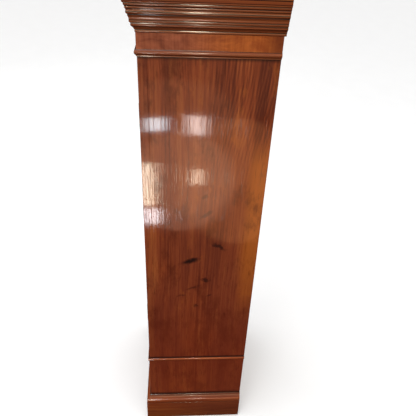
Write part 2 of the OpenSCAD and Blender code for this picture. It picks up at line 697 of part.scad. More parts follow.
// The recoil anchor: two arms over the escape wheel, and the crutch that drives the pendulum.
module anchor() color(steel) {
    disc(0, pivot_z, -plate_t, plate_gap + plate_t + 12, 1.6);
    slab(0, pivot_z, 28, 34) {
        circle(7);
        difference() {
            translate([0, escape_z - pivot_z]) circle(29.5);
            translate([0, escape_z - pivot_z]) circle(26.4);
            translate([-40, -90]) square([80, 71]);
        }
        for (s = [-1, 1]) translate([0, escape_z - pivot_z]) rotate(90 + s * 50) translate([25.6, -1.5]) square([2, 3]);
    }
    crutch_u = plate_gap + plate_t + 3;
    slab(0, pivot_z, crutch_u, crutch_u + 2) {
        circle(4);
        translate([-1.6, -crutch_l - 3]) square([3.2, crutch_l + 3]);
    }
    disc(0, pivot_z - crutch_l, crutch_u, swing_y - plate_y + 8, 1.5);
}

module minute_wheel() color(brass) difference() {
    union() {
        slab(stud_x, dial_z, -8.5, -6.5)
            crossed(gear(72, 0.5125, 180 + 2.5, 0.8, 1.2, 0.12, 0.46), 14, 6, 4, 3);
        slab(stud_x, dial_z, -15, -8.4) polygon(pinion(15, 0.656, 180 + 12));
        disc(stud_x, dial_z, -6.5, -4.2, 4);
    }
    disc(stud_x, dial_z, -16, -4, 1.5 + fit);
}

module hour_wheel() color(brass) difference() {
    union() {
        slab(0, dial_z, -13, -11) crossed(gear(60, 0.656, 0), 14.5, 7, 4, 3.5);
        disc(0, dial_z, -33, -11, 4.6);
    }
    disc(0, dial_z, -34, -9, 3.4 + fit);
}

module hour_hand() color(blued) difference() {
    union() {
        slab(0, dial_z, -33, -31.4) {
            circle(9);
            polygon([[-3.4, 0], [-2.4, 50], [2.4, 50], [3.4, 0]]);
            translate([0, 58]) circle(10);
            polygon([[-7, 62], [0, 86], [7, 62]]);
        }
        disc(0, dial_z, -31.4, -30.4, 7);
    }
    disc(0, dial_z, -34, -30, 4.6);
}

// ---- Pendulum and weight --------------------------------------------------------------------

module suspension_spring() color(steel)
    box([-0.2, swing_y - 5, pivot_z - 6], [0.2, swing_y + 5, pivot_z + 10]);

module pendulum_rod() color(steel) {
    rod_z0 = bob_z - bob_r - 40;
    box([-3, swing_y - 6, pivot_z - 16], [3, swing_y + 6, pivot_z - 6.2]);
    difference() {
        union() {
            translate([0, swing_y, rod_z0]) cylinder(r = rod_r, h = pivot_z - 15 - rod_z0);
            box([-7, swing_y - 5, pivot_z - crutch_l - 12], [7, swing_y + 5, pivot_z - crutch_l + 12]);
        }
        box([-1.9, swing_y - 6, pivot_z - crutch_l - 5], [1.9, swing_y + 6, pivot_z - crutch_l + 5]);
    }
}

// A brass-cased lens.
module pendulum_bob() color(brass) difference() {
    translate([0, swing_y, bob_z]) rotate([90, 0, 0]) rotate_extrude()
        polygon(concat([[0, -bob_t / 2]], swell(12, -bob_t / 2, bob_r - 2, -2, 5, 8), [[bob_r, -1.6], [bob_r, 1.6]],
            swell(bob_r - 2, 2, 12, bob_t / 2, 5, 8), [[0, bob_t / 2]]));
    translate([0, swing_y, bob_z - bob_r - 5]) cylinder(r = rod_r + fit, h = 2 * bob_r + 10);
}

module rating_nut() color(brass) difference() {
    translate([0, swing_y, bob_z - bob_r - 15]) {
        cylinder(r = 7, h = 14.7);
        cylinder(r = 15, h = 3);
    }
    translate([0, swing_y, bob_z - bob_r - 16]) cylinder(r = rod_r + fit, h = 18);
}

module pulley() color(brass) translate([pulley_x, pulley_y, pulley_z]) rotate([90, 0, 0]) rotate_extrude()
    polygon(concat([[2 + fit, -4], [6, -4], [6, -2], [14, -2], [15, -3.5], [22.5, -3.5]],
        [for (a = [60 : -20 : -60]) [pulley_r + 1.5 - 2.4 * cos(a), -2.1 * sin(a)]],
        [[22.5, 3.5], [15, 3.5], [14, 2], [6, 2], [6, 4], [2 + fit, 4]]));

// The weight: a brass shell filled with lead, hung on the pulley's stirrup.
module weight() color(brass) {
    translate([pulley_x, pulley_y, weight_z]) rotate_extrude() polygon(concat([[0, 0], [weight_r - 1.5, 0],
        [weight_r, 1.5], [weight_r, weight_h - 1.5], [weight_r - 1.5, weight_h]],
        swell(weight_r - 4, weight_h, 5, weight_h + 6, 1, 4), [[0, weight_h + 6]]));
    translate([pulley_x, pulley_y, weight_z + weight_h + 5]) cylinder(r = 3, h = 8);
    for (s = [-1, 1]) box([pulley_x - 5, pulley_y + s * 6 - 1, pulley_z - 28], [pulley_x + 5, pulley_y + s * 6 + 1, pulley_z + 6]);
    box([pulley_x - 5, pulley_y - 7, pulley_z - 31], [pulley_x + 5, pulley_y + 7, pulley_z - 27]);
    translate([pulley_x, pulley_y + 7.5, pulley_z]) rotate([90, 0, 0]) cylinder(r = 2, h = 15);
}

// ---- Assembly -------------------------------------------------------------------------------

plinth_skirt();
plinth_moulding();
bottom_board();
right_side_board();
left_side_board();
back_board();
base_panel();
trunk_front_frame();
trunk_beads();
frieze();
throat_moulding();
seat_board();
trunk_hinge_plates();
dial_plate();
chapter_ring();
dial_spandrels();
movement_plates();
movement_pillars();
back_cock();
weight_line();
trunk_door_frame();
trunk_door_glass();
trunk_hinge_leaves();
trunk_lock();
lock_bolt();
trunk_key();
hood_base();
hood_sides();
hood_side_glass();
hood_columns();
hood_brasses();
hood_mask();
hood_top_board();
hood_frieze();
hood_cornice();
hood_tympanum();
swan_necks();
finial_blocks();
finials();
hood_door_frame();
hood_door_glass();
hood_door_pivots();
hood_door_catch();
barrel();
great_wheel();
centre_wheel();
minute_hand();
third_wheel();
escape_wheel();
seconds_hand();
anchor();
minute_wheel();
hour_wheel();
hour_hand();
suspension_spring();
pendulum_rod();
pendulum_bob();
rating_nut();
pulley();
weight();
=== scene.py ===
"""Looks of a mahogany longcase clock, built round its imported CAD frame.

Metres, in the CAD's own frame: +Z is up and the dial faces -Y. Sections and thicknesses that a
cabinet maker would give in millimetres are written in millimetres and scaled by MM.
"""

import math

import bmesh
import bpy
from mathutils import Matrix, Vector


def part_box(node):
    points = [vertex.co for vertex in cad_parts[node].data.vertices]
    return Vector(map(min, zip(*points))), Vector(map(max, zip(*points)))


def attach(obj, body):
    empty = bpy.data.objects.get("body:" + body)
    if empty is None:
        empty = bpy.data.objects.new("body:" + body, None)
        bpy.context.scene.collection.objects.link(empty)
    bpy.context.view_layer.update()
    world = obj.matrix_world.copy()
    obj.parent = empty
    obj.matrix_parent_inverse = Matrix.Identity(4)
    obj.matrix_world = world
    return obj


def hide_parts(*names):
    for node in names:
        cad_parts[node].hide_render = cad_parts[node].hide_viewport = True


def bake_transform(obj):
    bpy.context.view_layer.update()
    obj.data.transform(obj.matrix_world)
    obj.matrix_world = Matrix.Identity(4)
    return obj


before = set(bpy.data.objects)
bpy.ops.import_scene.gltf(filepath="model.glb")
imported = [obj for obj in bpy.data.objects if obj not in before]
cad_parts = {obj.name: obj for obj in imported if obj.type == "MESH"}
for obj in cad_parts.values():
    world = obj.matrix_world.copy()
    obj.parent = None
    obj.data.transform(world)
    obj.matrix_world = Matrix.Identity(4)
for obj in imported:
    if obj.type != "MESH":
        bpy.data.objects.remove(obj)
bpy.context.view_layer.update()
MM = 0.001


def low(node):
    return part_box(node)[0]


def high(node):
    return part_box(node)[1]


def centre(node):
    return (low(node) + high(node)) / 2


# ---- Places, from the frame ----

HALF = high("right_side_board").x
FRONT = low("trunk_front_frame").y
BACK = high("right_side_board").y
REAR = high("throat_moulding").y
SEAT_TOP = high("seat_board").z
DIAL_Y = low("dial_plate").y
DIAL_Z = centre("chapter_ring").z
ARCH_Z = DIAL_Z + 148 * MM
BOSS_Z = ARCH_Z + 52 * MM
SECONDS_Z = DIAL_Z + 62 * MM
BARREL_Z = DIAL_Z - 46.8 * MM
PIVOT_Z = DIAL_Z + 97 * MM
FRONT_PLATE = high("movement_plates").y - 63.5 * MM
SCROLL_X = 42 * MM
SCROLL_Z = high("swan_necks").z - 22 * MM
STILE_INSIDE = 155 * MM
LOWER_BEAD_Z = low("trunk_beads").z
UPPER_BEAD_Z = low("frieze").z - 14 * MM

# ---- Camera ----

EYE = Vector((1.1671, -0.0387, 1.4908))
AIM = Vector((HALF, 0.0442, 0.8583))
ROLL = 2.81
LENS = 40.0


def make_camera():
    """A view down on the right side of the trunk, rolled a little."""
    data = bpy.data.cameras.new("camera")
    data.lens = LENS
    data.sensor_width = 36.0
    camera = bpy.data.objects.new("camera", data)
    camera.location = EYE
    level = (AIM - EYE).to_track_quat("-Z", "Y").to_matrix()
    camera.rotation_euler = (level @ Matrix.Rotation(math.radians(ROLL), 3, "Z")).to_euler()
    bpy.context.scene.collection.objects.link(camera)
    bpy.context.scene.camera = camera


make_camera()

# ---- Material nodes ----


class Value:
    """What one node gives to others. Numbers can be added, subtracted, multiplied and divided."""

    def __init__(self, graph, socket):
        self.graph, self.socket = graph, socket

    def __add__(self, other):
        return self.graph.math("ADD", self, other)

    def __sub__(self, other):
        return self.graph.math("SUBTRACT", self, other)

    def __mul__(self, other):
        return self.graph.math("MULTIPLY", self, other)

    def __truediv__(self, other):
        return self.graph.math("DIVIDE", self, other)


class Graph:
    """The node tree of a material or world, with a short call for each kind of node."""

    def __init__(self, owner, ending="OutputMaterial", space="Object"):
        self.owner = owner
        owner.use_nodes = True
        self.tree = owner.node_tree
        self.tree.nodes.clear()
        self.last = self.tree.nodes.new("ShaderNode" + ending)
        self.at = self.node("TexCoord", output=space)

    def put(self, socket, value):
        """Links a socket or sets its value. A colour may come without its alpha."""
        if isinstance(value, Value):
            self.tree.links.new(value.socket, socket)
        elif socket.type == "RGBA" and len(value) == 3:
            socket.default_value = (*value, 1.0)
        else:
            socket.default_value = value

    def node(self, kind, inputs=(), output=0, **settings):
        """One output of a new node, whose inputs are given by name or number."""
        made = self.tree.nodes.new("ShaderNode" + kind)
        for key, value in settings.items():
            setattr(made, key, value)
        for key, value in dict(inputs).items():
            self.put(made.inputs[key], value)
        return Value(self, made.outputs[output])

    def end(self, shader):
        """Ends the tree in a shader, and gives back the material."""
        self.put(self.last.inputs["Surface"], shader)
        return self.owner

    def surface(self, **values):
        """Ends the tree in a principled shader; underscores in a name stand for spaces."""
        sockets = {key.replace("_", " "): value for key, value in values.items()}
        return self.end(self.node("BsdfPrincipled", sockets))

    def math(self, operation, a, b=0.0, c=0.0):
        return self.node("Math", enumerate((a, b, c)), operation=operation)

    def vector(self, operation, a, b=(0.0, 0.0, 0.0)):
        output = "Value" if operation in ("LENGTH", "DISTANCE") else "Vector"
        return self.node("VectorMath", enumerate((a, b)), output, operation=operation)

    def parts(self, vector):
        split = self.node("SeparateXYZ", {0: vector})
        return [Value(self, socket) for socket in split.socket.node.outputs]

    def join(self, x, y, z):
        return self.node("CombineXYZ", enumerate((x, y, z)))

    def noise(self, at, scale, stretch=(1.0, 1.0, 1.0), detail=3.0, roughness=0.5, distortion=0.0):
        """Noise from 0 to 1, stretched along an axis whose factor is under 1."""
        inputs = {"Vector": self.vector("MULTIPLY", at, stretch), "Scale": scale, "Detail": detail,
                  "Roughness": roughness, "Distortion": distortion}
        return self.node("TexNoise", inputs, "Fac")

    def span(self, value, start, end, low_value=0.0, high_value=1.0):
        """A smooth step from one value to another."""
        inputs = enumerate((value, start, end, low_value, high_value))
        return self.node("MapRange", inputs, interpolation_type="SMOOTHSTEP")

    def mix(self, factor, a, b):
        """A mix of two colours."""
        return self.node("Mix", {"Factor": factor, 6: a, 7: b}, 2, data_type="RGBA")

    def layers(self, colour, *tints):
        """Lays (share, tint) pairs over a colour, one after another."""
        for share, tint in tints:
            colour = self.mix(share, colour, tint)
        return colour

    def ramp(self, factor, *stops):
        """A colour from (place, colour) stops."""
        colour = self.node("ValToRGB", {0: factor}, "Color")
        elements = colour.socket.node.color_ramp.elements
        while len(elements) < len(stops):
            elements.new(0.5)
        for element, (place, tint) in zip(elements, stops):
            element.position = place
            element.color = (*tint, 1.0)
        return colour

    def bump(self, height, distance, strength=1.0, normal=None):
        inputs = {"Height": height, "Distance": distance, "Strength": strength}
        if normal:
            inputs["Normal"] = normal
        return self.node("Bump", inputs, "Normal")


def paint(name):
    return Graph(bpy.data.materials.new(name))


def shade(tint, share):
    return tuple(c * share for c in tint)


# ---- Woods ----

DARK = (0.110, 0.018, 0.007)
MIDDLE = (0.300, 0.058, 0.016)
PALE = (0.480, 0.130, 0.032)
PURPLE = (0.160, 0.036, 0.020)
ORANGE = (0.500, 0.130, 0.020)
# A darker red, painted as shade low on the side board.
BOTTOM_SHADE_RED = (0.200, 0.028, 0.010)


def grain_frame(g, along, seed, rails=None):
    """Object coordinates turned so that Z runs along the grain. Within |x| < rails, X does."""
    x, y, z = g.parts(g.at)
    turned = {"X": (z, y, x), "Y": (x, z, y), "Z": (x, y, z)}[along]
    turned = g.join(*turned)
    if rails:
        inside = g.math("LESS_THAN", g.math("ABSOLUTE", x), rails)
        turned = g.node("Mix", {"Factor": inside, 4: turned, 5: g.join(z, y, x)}, 1, data_type="VECTOR")
    return g.vector("ADD", turned, (seed * 1.37, seed * 0.71, seed * 2.9))


class Grain:
    """The values that straight-grained timber is drawn from."""

    def __init__(self, g, at):
        drift = g.noise(at, 3.0, (1, 1, 0.5), 2.0) * 0.05
        x, y, z = g.parts(at)
        bent = g.join(x + drift, y + drift, z)
        self.band = g.noise(bent, 22.0, (1, 1, 0.035), 4.0, 0.6)
        self.streak = g.noise(bent, 95.0, (1, 1, 0.02), 5.0, 0.65)
        self.line = g.noise(bent, 240.0, (1, 1, 0.022), 3.0, 0.7)
        self.pore = g.span(g.noise(bent, 620.0, (1, 1, 0.03), 2.0), 0.60, 0.72)
        self.cloud = g.noise(at, 4.5, (1, 1, 0.45), 3.0, 0.55)


def browns(g, tone, depth=1.0, places=(0.34, 0.50, 0.68)):
    """Mahogany's dark, middle and pale brown, as a tone rises."""
    tints = (shade(tint, depth) for tint in (DARK, MIDDLE, PALE))
    return g.ramp(tone, *zip(places, tints))


def polish(g, grain, colour, gloss=0.11, relief=1.0):
    """French polish over a grain: a clear coat, open pores and a faint unevenness."""
    wavy = g.bump(g.noise(g.at, 9.0, detail=1.0), 1.2 * MM, 0.25 * relief)
    fine = g.bump(grain.line, 0.22 * MM, 0.30 * relief, wavy)
    normal = g.bump(grain.streak * 0.6 + grain.pore * -0.5, 0.25 * MM, 0.30 * relief, fine)
    return g.surface(Base_Color=colour, Roughness=g.span(grain.streak, 0.3, 0.7, 0.36, 0.52),
                     Normal=normal, Coat_Normal=normal, Coat_Weight=1.0, Coat_Roughness=gloss,
                     Coat_IOR=1.5, Specular_IOR_Level=0.05)


def mahogany(name, along="Z", seed=0.0, warmth=0.0, depth=0.8, rails=None, relief=1.0):
    """Polished mahogany. Warmth moves it to orange, and depth under 1 makes it darker."""
    g = paint(name)
    grain = Grain(g, grain_frame(g, along, seed, rails))
    tone = grain.band * 0.50 + grain.streak * 0.30 + grain.line * 0.20
    colour = g.layers(browns(g, tone, depth),
                      (g.span(grain.cloud, 0.42, 0.70, 0.0, 0.5), shade(PURPLE, depth)),
                      (warmth, shade(ORANGE, depth)), (grain.pore * 0.55, shade(DARK, 0.5)))
    return polish(g, grain, colour, relief=relief)


KNOTS = (
    # where on the side (Y, Z), half length, half width, lean in degrees, darkness
    (0.003, 0.686, 0.036, 0.012, 20, 0.98),
    (0.078, 0.735, 0.030, 0.009, -28, 0.80),
    (0.046, 0.618, 0.018, 0.010, -20, 0.80),
    (0.036, 0.890, 0.014, 0.008, 40, 0.60),
    (0.042, 0.838, 0.028, 0.008, 38, 0.65),
    (0.012, 0.590, 0.032, 0.006, 25, 0.50),
    (-0.020, 0.560, 0.020, 0.006, 10, 0.45),
    (0.022, 0.520, 0.012, 0.009, 0, 0.55),
    (0.060, 0.560, 0.012, 0.006, 30, 0.55),
)
WAX_AND_SHADOW_LINES = (
    # dark lines against a moulding, painted shadow and partly old wax: where (Z), how far it fades, darkness
    (high("plinth_moulding").z, 0.013, 0.8),
    (LOWER_BEAD_Z + 11.5 * MM, 0.009, 0.75),
    (LOWER_BEAD_Z, -0.006, 0.5),
    (UPPER_BEAD_Z, -0.009, 0.8),
)


def knots_mask(g, y, z):
    """Small dark knots with ragged ends, each an ellipse in slightly disturbed coordinates."""
    shift = (g.noise(g.at, 70.0) - 0.5) * 0.022
    total = 0.0
    for spot_y, spot_z, length, width, lean, dark in KNOTS:
        c, s = math.cos(math.radians(lean)), math.sin(math.radians(lean))
        dy = y - spot_y + shift
        dz = z - spot_z + shift
        away = g.vector("LENGTH", g.join(dy * (c / length) + dz * (s / length),
                                         dz * (c / width) - dy * (s / width), 0.0))
        total = g.math("MAXIMUM", total, g.span(away, 0.25, 1.0, dark, 0.0))
    return total


def leaning_figure(g, x, y, z):
    """Waves of figure that lean forward and grow stronger towards the top at the back."""
    lean = g.span(z, 0.85, 1.25) * 0.05
    inputs = {"Vector": g.join(x, y - lean, z * 0.09), "Scale": 40.0, "Distortion": 5.0, "Detail": 3.0,
              "Detail Scale": 1.6}
    waves = g.node("TexWave", inputs, "Fac", wave_type="BANDS", bands_direction="Y")
    return (waves - 0.5) * (g.span(y, 0.0, 0.08) * g.span(z, 0.85, 1.05, 0.01, 0.06))


def side_board_wood(name):
    """The wide side board: leaning figure near the top, an orange edge, knots low in the middle, painted
    shade towards the bottom, and painted shadow lines along the mouldings.
    """
    g = paint(name)
    x, y, z = g.parts(g.at)
    grain = Grain(g, grain_frame(g, "Z", 0.4, STILE_INSIDE))
    tone = grain.band * 0.42 + grain.streak * 0.30 + grain.line * 0.30 - 0.02 + leaning_figure(g, x, y, z)
    tone = tone - g.span(y, 0.02, 0.12) * g.span(z, 0.95, 1.12, 0.0, 0.045)
    blotch = g.noise(g.at, 17.0, (1, 1, 0.5), 5.0, 0.68)
    edge = g.span(y, 0.125, 0.160) * g.span(z, 0.40, 0.70) * g.span(z, 0.96, 1.06, 0.75, 0.0)
    colour = g.layers(browns(g, tone, places=(0.38, 0.49, 0.62)),
                      (g.span(grain.cloud, 0.40, 0.66) * g.span(z, 0.3, 1.1, 0.55, 0.4), PURPLE),
                      (edge, ORANGE),
                      (g.span(blotch, 0.50, 0.68, 0.0, 0.62), shade(DARK, 0.7)),
                      (g.span(blotch, 0.30, 0.42, 0.30, 0.0), ORANGE),
                      # Painted shade: the side turns darker and redder towards the bottom, where less light
                      # reaches it.
                      (g.span(z, 0.25, 0.75, 0.60, 0.0), BOTTOM_SHADE_RED),
                      (grain.pore * 0.55, shade(DARK, 0.4)),
                      (knots_mask(g, y, z), (0.018, 0.006, 0.005)))
    # Painted shadow, partly old wax: thin dark lines on the board where it meets the mouldings.
    for line_z, reach, dark in WAX_AND_SHADOW_LINES:
        near = (z - line_z) / reach
        wax = g.span(near, -0.1, 0.0) * g.span(near, 0.0, 1.0, dark, 0.0)
        colour = g.mix(wax, colour, (0.020, 0.006, 0.004))
    return polish(g, grain, colour, gloss=0.055)


def moulding_wood(name, along, seed, node, quirks, warmth=0.0, depth=1.0):
    """Mahogany for a run of moulding, with its quirks (height, half width) painted dark: painted shade and
    old wax.
    """
    g = paint(name)
    grain = Grain(g, grain_frame(g, along, seed))
    height = g.parts(g.at)[2]
    # Painted shade, partly old wax: each quirk darkens to near black.
    wax = 0.0
    for quirk, half in quirks:
        away = g.math("ABSOLUTE", height - (low(node).z + quirk * MM))
        wax = g.math("MAXIMUM", wax, g.span(away, half * 0.3 * MM, half * MM, 0.96, 0.0))
    colour = g.layers(browns(g, grain.band * 0.6 + grain.streak * 0.4, depth),
                      (g.span(grain.cloud, 0.40, 0.66, 0.0, 0.6), PURPLE),
                      (warmth, ORANGE), (wax, (0.012, 0.004, 0.003)))
    return polish(g, grain, colour, gloss=0.10, relief=0.35)


def frieze_wood(name):
    """Cross-banded veneer, red towards the front and orange towards the back."""
    g = paint(name)
    y = g.parts(g.at)[1]
    grain = Grain(g, grain_frame(g, "Z", 11.5))
    tone = g.noise(g.at, 38.0, (0.5, 0.5, 1.0), 5.0, 0.65, 0.6) * 0.7 + grain.line * 0.3
    red = g.ramp(tone, (0.36, (0.20, 0.045, 0.020)), (0.62, (0.46, 0.125, 0.055)))
    orange = g.ramp(tone, (0.36, (0.30, 0.055, 0.012)), (0.62, (0.60, 0.150, 0.026)))
    colour = g.layers(red, (g.span(y, -0.04, 0.09), orange),
                      (g.span(y, 0.135, 0.175, 0.0, 0.7), (0.16, 0.034, 0.012)))
    return polish(g, grain, colour, gloss=0.12, relief=0.5)


def plain_wood(name, pale, dark, along="Z", seed=0.0):
    """Unpolished secondary timber with wide, soft annual rings."""
    g = paint(name)
    grain = Grain(g, grain_frame(g, along, seed))
    colour = g.ramp(grain.band * 0.8 + grain.streak * 0.2, (0.35, dark), (0.62, pale))
    colour = g.mix(g.span(grain.cloud, 0.45, 0.75, 0.0, 0.35), colour, shade(dark, 0.6))
    return g.surface(Base_Color=colour, Roughness=g.span(grain.streak, 0.3, 0.7, 0.62, 0.85),
                     Normal=g.bump(grain.streak, 0.5 * MM, 0.35))


def run_woods(wood, name, seeds, *places, **look):
    """The two woods of a mitred run: grain along the front, and grain along the sides."""
    return [wood(f"{name}_{side}", axis, seed, *places, **look)
            for side, axis, seed in zip(("front", "side"), "XY", seeds)]


# ---- Metals, glass and the rest ----


def metal(name, bright, dull, rough=(0.18, 0.36), marks_scale=260.0, stretch=(1.0, 1.0, 0.06), tarnish=0.35):
    """Polished metal with fine rubbing marks and a mottled tarnish."""
    g = paint(name)
    marks = g.noise(g.at, marks_scale, stretch, 3.0, 0.6)
    patches = g.noise(g.at, 28.0, detail=4.0, roughness=0.6)
    colour = g.mix(g.span(patches, 0.45, 0.72, 0.0, tarnish), bright, dull)
    wear = g.span(marks * 0.5 + patches * 0.5, 0.35, 0.65, *rough)
    return g.surface(Base_Color=colour, Metallic=1.0, Roughness=wear, Normal=g.bump(marks, 0.06 * MM, 0.25))


def dial_metal(name, bright, dull, middle, lines, matted=0.0, metallic=0.6):
    """Dial metal: fine turned rings about the middle, and a matted ground inside a radius."""
    g = paint(name)
    away = g.vector("DISTANCE", g.at, middle)
    turned = g.noise(g.join(away, 0.0, 0.0), lines, detail=2.0)
    grit = g.noise(g.at, 900.0, detail=2.0)
    patches = g.noise(g.at, 20.0, detail=4.0, roughness=0.6)
    height = turned * 0.4 + grit * g.math("LESS_THAN", away, matted)
    colour = g.mix(g.span(patches, 0.42, 0.72, 0.0, 0.4), bright, dull)
    return g.surface(Base_Color=colour, Metallic=metallic, Roughness=g.span(patches, 0.3, 0.7, 0.30, 0.48),
                     Normal=g.bump(height, 0.15 * MM, 0.5))


def glass(name):
    """Old window glass: clear, thin and a little wavy, with more reflection at a glancing angle."""
    g = paint(name)
    wavy = g.bump(g.noise(g.at, 14.0, (1, 1, 0.6), 1.0), 1.0 * MM, 0.25)
    clear = g.node("BsdfTransparent", {"Color": (0.96, 0.98, 0.97)})
    gloss = g.node("BsdfGlossy", {"Roughness": 0.02, "Normal": wavy})
    glancing = g.math("POWER", g.node("LayerWeight", output="Facing"), 5.0)
    mirror = g.math("MULTIPLY_ADD", glancing, 0.9, 0.04)
    return g.end(g.node("MixShader", enumerate((mirror, clear, gloss))))


def matt(name, base, other, rough=0.6, scale=60.0):
    """A plain finish with a slight mottle: gut, wax or floor."""
    g = paint(name)
    patches = g.noise(g.at, scale)
    return g.surface(Base_Color=g.mix(patches, base, other),
                     Roughness=g.span(patches, 0.3, 0.7, rough - 0.08, rough + 0.08),
                     Normal=g.bump(patches, 0.1 * MM, 0.2))


# ---- The materials ----

# Quirks of each run, in millimetres above its foot, with half widths: painted shade and old wax lie there.
THROAT_QUIRKS = ((0, 1.6), (5.3, 1.5), (12.2, 1.2), (18.4, 1.7), (24.8, 1.5), (35.2, 1.7), (41.2, 1.5),
                 (46.2, 1.2), (51.4, 1.4), (57.2, 1.3), (62, 1.0), (69.5, 1.6))
BEAD_QUIRKS = ((0, 0.8), (12.5, 2.6), (946, 0.9), (950.2, 1.0), (960, 1.3))
PLINTH_QUIRKS = ((0.6, 0.9), (27, 1.6), (33.5, 5.0))
RUN_SEEDS = (1.7, 4.6)
DEAL_TINTS = (0.42, 0.26, 0.13), (0.24, 0.12, 0.05)
DIAL_MIDDLE = (0.0, DIAL_Y, DIAL_Z)

SIDE_WOOD = side_board_wood("mahogany_side")
UP_WOOD = mahogany("mahogany_upright", "Z", 3.1)
DOOR_WOOD = mahogany("mahogany_door", "Z", 8.2, warmth=0.15, rails=114 * MM)
HOOD_DOOR_WOOD = mahogany("mahogany_hood_door", "Z", 6.4, warmth=0.12, rails=147 * MM)
FLAME_WOOD = mahogany("mahogany_panel", "X", 2.2, warmth=0.22)
WARM_WOOD = mahogany("mahogany_warm_front", "X", 9.1, warmth=0.2, relief=0.3)
BAND_WOOD = mahogany("mahogany_crossband", "Z", 11.5, warmth=0.42, depth=1.15)
FRIEZE_WOOD = frieze_wood("mahogany_crossbanded_frieze")
RUN_WOODS = run_woods(mahogany, "mahogany_moulding", RUN_SEEDS, warmth=0.05, relief=0.3)
SKIRT_WOODS = run_woods(mahogany, "mahogany_skirt", (12.3, 13.9), depth=0.66)
THROAT_WOODS = run_woods(moulding_wood, "mahogany_throat", RUN_SEEDS, "throat_moulding", THROAT_QUIRKS,
                         warmth=0.15, depth=0.85)
BEAD_WOODS = run_woods(moulding_wood, "mahogany_bead", RUN_SEEDS, "trunk_beads", BEAD_QUIRKS)
PLINTH_WOODS = run_woods(moulding_wood, "mahogany_plinth", RUN_SEEDS, "plinth_moulding", PLINTH_QUIRKS,
                         depth=0.8)
DEAL = plain_wood("deal", *DEAL_TINTS, "Z", 1.0)
DEAL_X = plain_wood("deal_crosswise", *DEAL_TINTS, "X", 2.0)
BOXWOOD = plain_wood("boxwood_string", (0.62, 0.42, 0.18), (0.45, 0.28, 0.10), "Z", 4.0)
BRASS = metal("brass", (0.82, 0.58, 0.24), (0.42, 0.27, 0.10))
CAST_BRASS = metal("cast_brass", (0.78, 0.54, 0.20), (0.30, 0.18, 0.07), (0.24, 0.45), 120.0, (1, 1, 1), 0.6)
STEEL = metal("steel", (0.56, 0.56, 0.57), (0.26, 0.25, 0.24), (0.22, 0.42))
BLUED = metal("blued_steel", (0.03, 0.05, 0.19), (0.014, 0.018, 0.06), (0.16, 0.30), 300.0, (1, 1, 1), 0.5)
GLASS = glass("old_glass")
GUT = matt("gut", (0.46, 0.30, 0.12), (0.32, 0.19, 0.07), 0.42, 300.0)
INK = matt("engraving_wax", (0.010, 0.009, 0.008), (0.022, 0.020, 0.018), 0.45, 200.0)
SILVERED = dial_metal("silvered", (0.80, 0.79, 0.74), (0.62, 0.59, 0.50), DIAL_MIDDLE, 900.0, metallic=0.25)
DIAL_BRASS = dial_metal("dial_brass", (0.92, 0.62, 0.24), (0.66, 0.42, 0.15), DIAL_MIDDLE, 700.0, 100 * MM)
BOB_BRASS = dial_metal("turned_brass", (0.95, 0.66, 0.27), (0.70, 0.46, 0.17), tuple(centre("pendulum_bob")),
                       420.0, metallic=0.75)

# ---- Shapes ----


def swell(p0, h0, p1, h1, bulge, steps=14):
    """A stretch of moulding from one [projection, height] to the next, bulging outward."""
    dp, dh = p1 - p0, h1 - h0
    length = math.hypot(dp, dh)
    points = []
    for i in range(steps + 1):
        t = i / steps
        s = bulge * math.sin(math.pi * t)
        points.append((p0 + dp * t + s * dh / length, h0 + dh * t - s * dp / length))
    return points


def spiral(cx, cz, start_r, end_r, start, end, steps=30):
    """Points of a scroll that winds from one radius to another; angles in degrees."""
    points = []
    for i in range(steps + 1):
        t = i / steps
        r, a = start_r * (end_r / start_r) ** t, math.radians(start + (end - start) * t)
        points.append((cx + r * math.cos(a), cz + r * math.sin(a)))
    return points


def arc(cx, cz, r, start, end, steps=48):
    """Points along an arc, in degrees."""
    return spiral(cx, cz, r, r, start, end, steps)


def break_arch(half, z0, z1, radius, centre_z, middle=0.0):
    """A rectangle with a round arch standing on its top, anticlockwise."""
    foot = math.degrees(math.asin(max(0.0, (z1 - centre_z) / radius)))
    return [(middle - half, z0), (middle + half, z0), (middle + half, z1),
            *arc(middle, centre_z, radius, foot, 180 - foot), (middle - half, z1)]


def rectangle(node, grow=0.0):
    """The corners of a node's front view, anticlockwise, grown by some millimetres."""
    (x0, _, z0), (x1, _, z1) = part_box(node)
    g = grow * MM
    return [(x0 - g, z0 - g), (x1 + g, z0 - g), (x1 + g, z1 + g), (x0 - g, z1 + g)]


def on_front(y, z=0.0):
    """Places a front-view outline at a depth and above a height, with its own height towards -Y."""
    return lambda a, b, h: (a, y - h, z + b)


def on_side(x):
    """Places a side-view outline at an X position, with height away from the middle."""
    return lambda a, b, h: (x + math.copysign(h, x), a, b)


def around(cx, cy, cz, axis):
    """Places (a, b) across an axis and h along it."""
    return {"X": lambda a, b, h: (cx + h, cy + a, cz + b), "Y": lambda a, b, h: (cx + a, cy + h, cz + b),
            "Z": lambda a, b, h: (cx + a, cy + b, cz + h)}[axis]


WELD = 0.002 * MM


